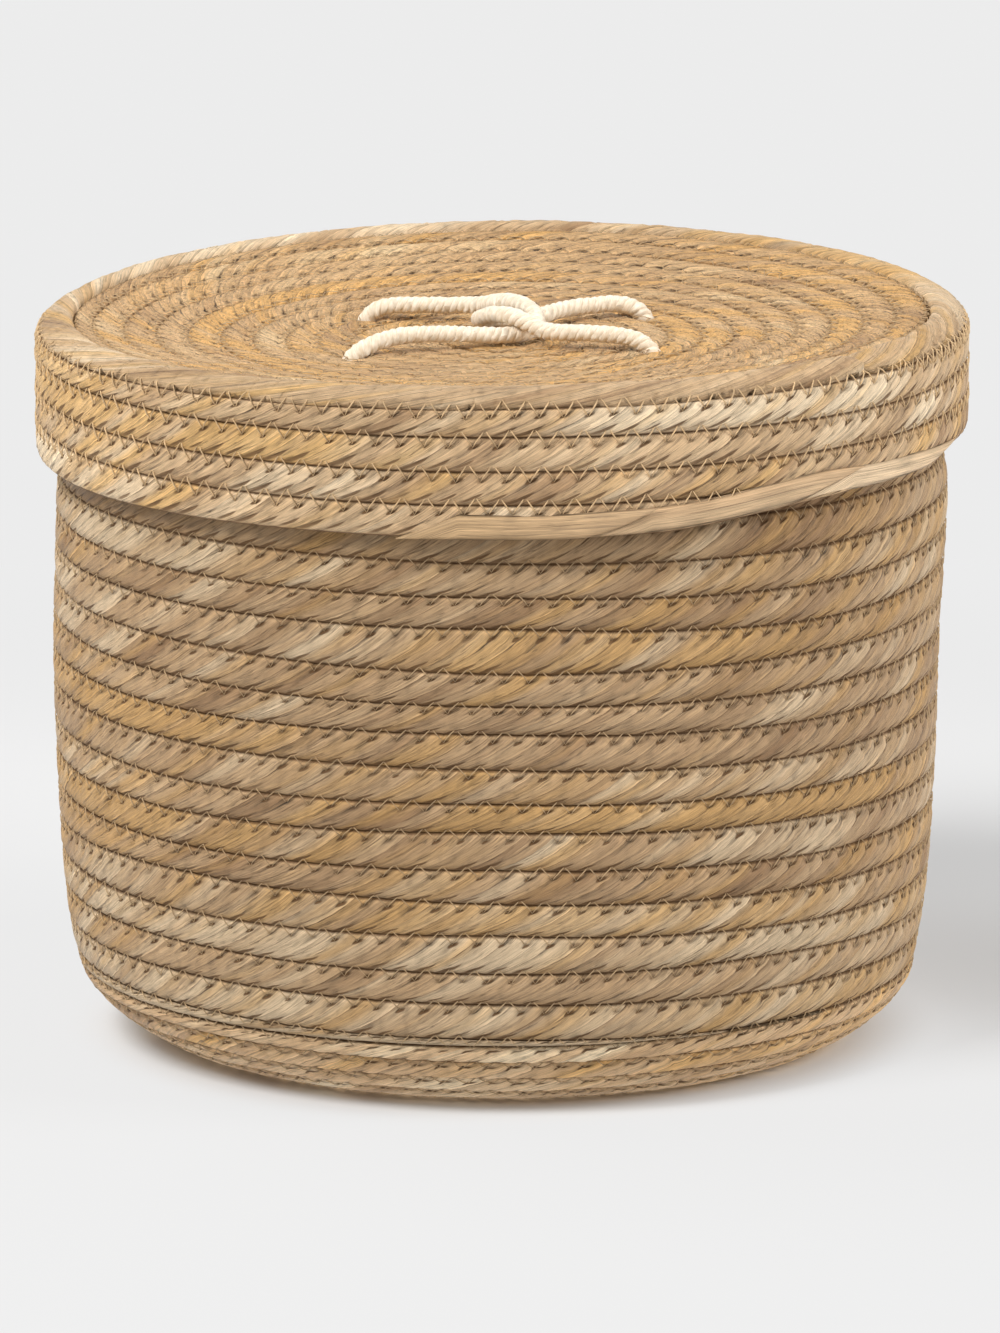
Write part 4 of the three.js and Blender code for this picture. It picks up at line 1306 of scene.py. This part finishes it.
def loose_leaf(name, coil, turned_from, turned_to, lift, seed):
    """A long flat strip that lies along the rope's last turn, its right end free and pointed.

    turned_from and turned_to are angles round the lid, in turns from the right.
    """
    from_edge, widest, narrowing = 0.0008, 0.0072, 0.0024
    half_thick, stand_off, cup = 0.00016, 0.00035, 0.0005
    # Shares of its length over which its left end is tucked in and its right end is free
    tucked_share, free_share = 0.24, 0.3

    share = np.linspace(0, 1, 90)
    angle = (turned_from + (turned_to - turned_from) * share) * TURN
    free = np.clip((share - 1 + free_share) / free_share, 0, 1)
    tucked = np.clip((tucked_share - share) / tucked_share, 0, 1)
    foot = coil.limit(angle) - from_edge
    # The skirt's last turn thins out towards the right
    width = widest - narrowing * smooth_step((angle / TURN - 0.86) / 0.09)
    top = foot - width * (1 - 0.95 * tucked + 0.03 * np.sin(9 * share + seed))
    foot = foot - width * (0.93 * free ** 1.6 + 0.02 * np.sin(7 * share + seed))
    rise = stand_off + lift * free ** 1.5 - 0.0004 * tucked
    across = np.array([0, 0.18, 0.5, 0.82, 1, 0.82, 0.5, 0.18])
    thick = np.array([0, 1, 1, 1, 0, -1, -1, -1]) * half_thick
    along = top[:, None] + (foot - top)[:, None] * across
    depth = cup * (2 * across - 1) ** 2 - (rise[:, None] + thick)
    lines = coil.section.place(along, depth, angle[:, None])
    rope, ring, side = drawn_rope(name, lines, (lines[0].mean(0), lines[-1].mean(0)))

    # Its fibres run along it, and it has no holes
    run = coil.rightward(angle - coil.start)[:, None] / MM
    over = np.append(across, across[0])[None, :] * np.maximum(foot - top, 0.0005)[:, None] / MM
    apart = 8.5 * seed
    lay_map(rope, "lay", ring, side, over + apart, 0.3 * run + 0 * over)
    for place in ("top", "foot"):
        lay_map(rope, place, ring, side, 0.5 + 0 * over, 0 * over)
    return rope


class BASKET_OT_lid_skirt(bpy.types.Operator):
    """Wind the lid's rim and skirt and sew them"""
    bl_idname = "basket.lid_skirt"
    bl_label = "Lid skirt"

    def execute(self, context):
        coil = skirt_coil()
        leaf = leaf_finish("skirt_leaf", coil)
        rope = coil_rope("leaf_skirt_coil", coil, per_stitch=FINE_PER_STITCH)
        finish_piece(rope, "lid", leaf, ("lid_skirt_coil",))
        rim = rim_rope("leaf_rim_coil", coil)
        finish_piece(rim, "lid", leaf)
        pale = leaf_finish("loose_leaf", coil)
        for number, (start, end, lift) in enumerate(LOOSE_LEAVES):
            flap = loose_leaf(f"leaf_loose_{number}", coil, start, end, lift, number)
            finish_piece(flap, "lid", pale)
        thread = thread_finish("skirt_thread", SKIRT_THREAD_TONE)
        sew(coil, ("skirt_thread_outside", "skirt_thread_inside"), SKIRT_SEWN_FROM * TURN, coil.last - TURN,
            "lid", thread, RIM_REACH, SKIRT_THREAD_WEIGHT)
        return {"FINISHED"}


def rim_profile():
    """The rim coil's outline from the skirt's groove over the crown and down to the wall's rim."""
    lid, levels = bpy.context.scene.lid_sizes, lid_levels()
    outer, groove = levels["skirt_outer"], levels["crown_groove"]
    crown = ((0.1, 0.28), (0.25, 0.6), (0.44, 0.86), (0.66, 1), (0.84, 0.97), (0.95, 0.84), (1, 0.66))
    foot = levels["under"] + 0.0002
    points = [(outer - lid.skirt_groove, groove - 0.0001)]
    points += [(outer - lid.crown_width * across, groove + lid.crown_height * rise) for across, rise in crown]
    points += [(levels["crown_inner"], foot), (outer - lid.skirt_thickness, foot)]
    return np.array(points)


def rim_rope(name, coil):
    """The rounded rim coil that stands above the lid's top."""
    lid, sizes = bpy.context.scene.lid_sizes, bpy.context.scene.stitch_sizes
    # Its strips lie at a flatter angle, up to the point of the profile where the face that shows ends
    lay_share, inner_edge, hidden_from = 1.8, 7, 8
    relief_depth, swell, swell_run, to_middle = 0.0005, 0.0004, 0.02, 0.005
    # How much thinner its two ends are, and over how many stitches
    thin_share, thin_run = 0.35, 1.2

    profile = rim_profile()
    phase = ring_phases(coil, RIM_START * TURN, RIM_END * TURN, FINE_PER_STITCH)
    wound = coil.wound_at(phase)
    edge_run = distance_along(profile)
    width = edge_run[inner_edge]
    share = edge_run / width - 0.5
    back = np.append(share > 0.5, True)
    lifted = np.append(np.where(share > 0.5, 0.5 - (share - 0.5) * 0.6, share), -0.5)
    slow_lay = lay_share * width
    shift = slow_lay * strip_shift(np.clip(lifted, -0.5, 0.5))
    run = coil.rightward(wound)[:, None]
    across = run - np.where(back, 2 * slow_lay * strip_shift(0.5) - shift, shift)
    strip = strip_number(across, coil.seed)[:, :-1]
    relief = 0.3 - 0.3 * (1 - np.cos(TURN * strip)) - 0.5 * smooth_noise(64, strip * 0.9)
    relief = relief_depth * relief + swell * smooth_noise(65, run / swell_run + 0 * share, 2)
    relief[:, hidden_from:] = 0
    ends = np.minimum(phase - phase[0], phase[-1] - phase)
    thin = smooth_step(ends / thin_run)[:, None]
    middle = profile.mean(0)
    pull = relief / to_middle + (1 - thin) * thin_share
    radius = profile[:, 0] + (middle[0] - profile[:, 0]) * pull
    height = profile[:, 1] + (middle[1] - profile[:, 1]) * pull
    angle = coil.angle(wound)[:, None]
    x, y = radius * np.cos(angle), radius * np.sin(angle)
    lines = np.stack([x, y, height + lid_lean(x, y, height)], axis=-1)
    rope, ring, side = drawn_rope(name, lines, (lines[0].mean(0), lines[-1].mean(0)))

    # It has holes along its foot alone, further from the seam than on the other turns
    lay_map(rope, "lay", ring, side, across / MM, run / MM + 0 * across)
    lay_map(rope, "top", ring, side, 0.5 + 0 * across, 0 * across)
    reach = RIM_REACH * coil.hole_above
    to_hole = (slow_lay * strip_shift(reach / width - 0.5) - shift) / sizes.stitch
    level = lifted * lid.skirt_pitch + np.where(lifted < 0, 0.0, 0.002) - (reach - coil.hole_above)
    lay_map(rope, "foot", ring, side, coil.hand * phase[:, None] + to_hole, level / MM + 0 * across)
    return rope


def soft_light(name, place, width, power):
    """A square lamp that faces the basket."""
    bpy.ops.object.light_add(type="AREA", location=place)
    light = bpy.context.object
    light.name = name
    light.data.shape = "RECTANGLE"
    light.data.size = light.data.size_y = width
    light.data.energy = power
    light.rotation_mode = "QUATERNION"
    light.rotation_quaternion = (Vector(LIGHT_AIM) - Vector(place)).to_track_quat("-Z", "Y")


def floor_material(stage):
    """A pale floor that the camera sees glow, apart from the object's shadow.

    Close round the object it is matt, most of all on the side away from the main light. Far off it
    only glows. Other rays find it partly glowing everywhere, which lights the object from below.
    """
    matt_share, shadow_share, lit_share = 0.4, 0.05, 0.85
    # Which way lies away from the main light
    away_x, away_y = 0.69, 0.72
    material, w = new_material("pale_floor")
    matt = w.add("ShaderNodeBsdfDiffuse", inputs={"Color": (*[stage.floor_tone] * 3, 1)})
    straight = w.add("ShaderNodeLightPath").outputs["Is Camera Ray"]
    strength = w.total(stage.floor_bounce, w.scaled(straight, 1 - stage.floor_bounce))
    glow = w.add("ShaderNodeEmission", inputs={"Color": stage.backdrop, "Strength": strength})
    place = w.add("ShaderNodeTexCoord").outputs["Object"]
    far = w.add("ShaderNodeVectorMath", {"operation": "LENGTH"}, {0: place}).outputs["Value"]
    x, y = w.split(place)
    away = w.rise(w.total(w.scaled(x, away_x), w.scaled(y, away_y)), 0.02, 0.2)
    near = w.times(w.total(lit_share, w.scaled(away, shadow_share - lit_share)), w.rise(far, 0.1, 0.132))
    glowing = w.maths("MAXIMUM", near, w.rise(far, 0.3, 0.75))
    seen = w.total(w.times(straight, glowing), w.scaled(straight, matt_share - 1, 1.0))
    mix = w.add("ShaderNodeMixShader", inputs={0: seen, 1: matt.outputs[0], 2: glow.outputs[0]})
    w.add("ShaderNodeOutputMaterial", inputs={"Surface": mix.outputs[0]})
    return material


def studio_world(stage):
    """An even pale fill light, with the backdrop's grey where it is seen."""
    world = bpy.data.worlds.new("studio")
    world.use_nodes = True
    w = Wiring(world.node_tree)
    paths = w.add("ShaderNodeLightPath").outputs
    seen = paths["Is Camera Ray"]
    for ray in ("Is Glossy Ray", "Is Transmission Ray"):
        seen = w.maths("MAXIMUM", seen, paths[ray])
    fill = w.add("ShaderNodeBackground", inputs={"Color": (1, 1, 1, 1), "Strength": stage.fill})
    plain = w.add("ShaderNodeBackground", inputs={"Color": stage.backdrop, "Strength": 1.0})
    mix = w.add("ShaderNodeMixShader", inputs={0: seen, 1: fill.outputs[0], 2: plain.outputs[0]})
    w.add("ShaderNodeOutputWorld", inputs={"Surface": mix.outputs[0]})
    return world


class BASKET_OT_stage(bpy.types.Operator):
    """Lay the pale floor and set the soft studio light"""
    bl_idname = "basket.stage"
    bl_label = "Stage"

    def execute(self, context):
        stage = context.scene.stage_sizes
        bpy.ops.object.select_all(action="DESELECT")
        bpy.ops.mesh.primitive_plane_add(size=FLOOR_SIZE)
        floor = context.object
        floor.name = "floor"
        floor.data.materials.append(floor_material(stage))
        context.scene.world = studio_world(stage)
        for name, (place, width, power) in LIGHTS.items():
            soft_light(name, place, width, power)
        context.scene.view_settings.view_transform = "Standard"
        return {"FINISHED"}


class BASKET_PT_panel(bpy.types.Panel):
    """Lists the basket's operators and sizes"""
    bl_idname = "BASKET_PT_panel"
    bl_label = "Coiled basket"
    bl_space_type = "VIEW_3D"
    bl_region_type = "UI"
    bl_category = "Basket"

    def draw(self, context):
        for operator in OPERATORS:
            self.layout.operator(operator.bl_idname)
        for name in SETTINGS:
            box = self.layout.box()
            settings = getattr(context.scene, name)
            for prop in settings.bl_rna.properties:
                if prop.identifier not in ("rna_type", "name"):
                    box.prop(settings, prop.identifier)


SETTINGS = {
    "basket_sizes": BasketSizes, "lid_sizes": LidSizes, "handle_sizes": HandleSizes,
    "stitch_sizes": StitchSizes, "leaf_colours": LeafColours, "stage_sizes": StageSizes,
}
OPERATORS = (
    BASKET_OT_camera, BASKET_OT_handle, BASKET_OT_wall, BASKET_OT_base, BASKET_OT_lid_disc,
    BASKET_OT_lid_skirt, BASKET_OT_stage,
)


def register():
    """Registers the classes and gives the scene its settings."""
    for cls in (*SETTINGS.values(), *OPERATORS, BASKET_PT_panel):
        bpy.utils.register_class(cls)
    for name, group in SETTINGS.items():
        setattr(bpy.types.Scene, name, bpy.props.PointerProperty(type=group))


def unregister():
    """Takes the settings and the classes away again."""
    for name in SETTINGS:
        delattr(bpy.types.Scene, name)
    for cls in reversed((*SETTINGS.values(), *OPERATORS, BASKET_PT_panel)):
        bpy.utils.unregister_class(cls)


def main():
    """Builds the basket."""
    register()
    for step in ("camera", "handle", "wall", "base", "lid_disc", "lid_skirt", "stage"):
        getattr(bpy.ops.basket, step)()


if __name__ == "__main__":
    main()
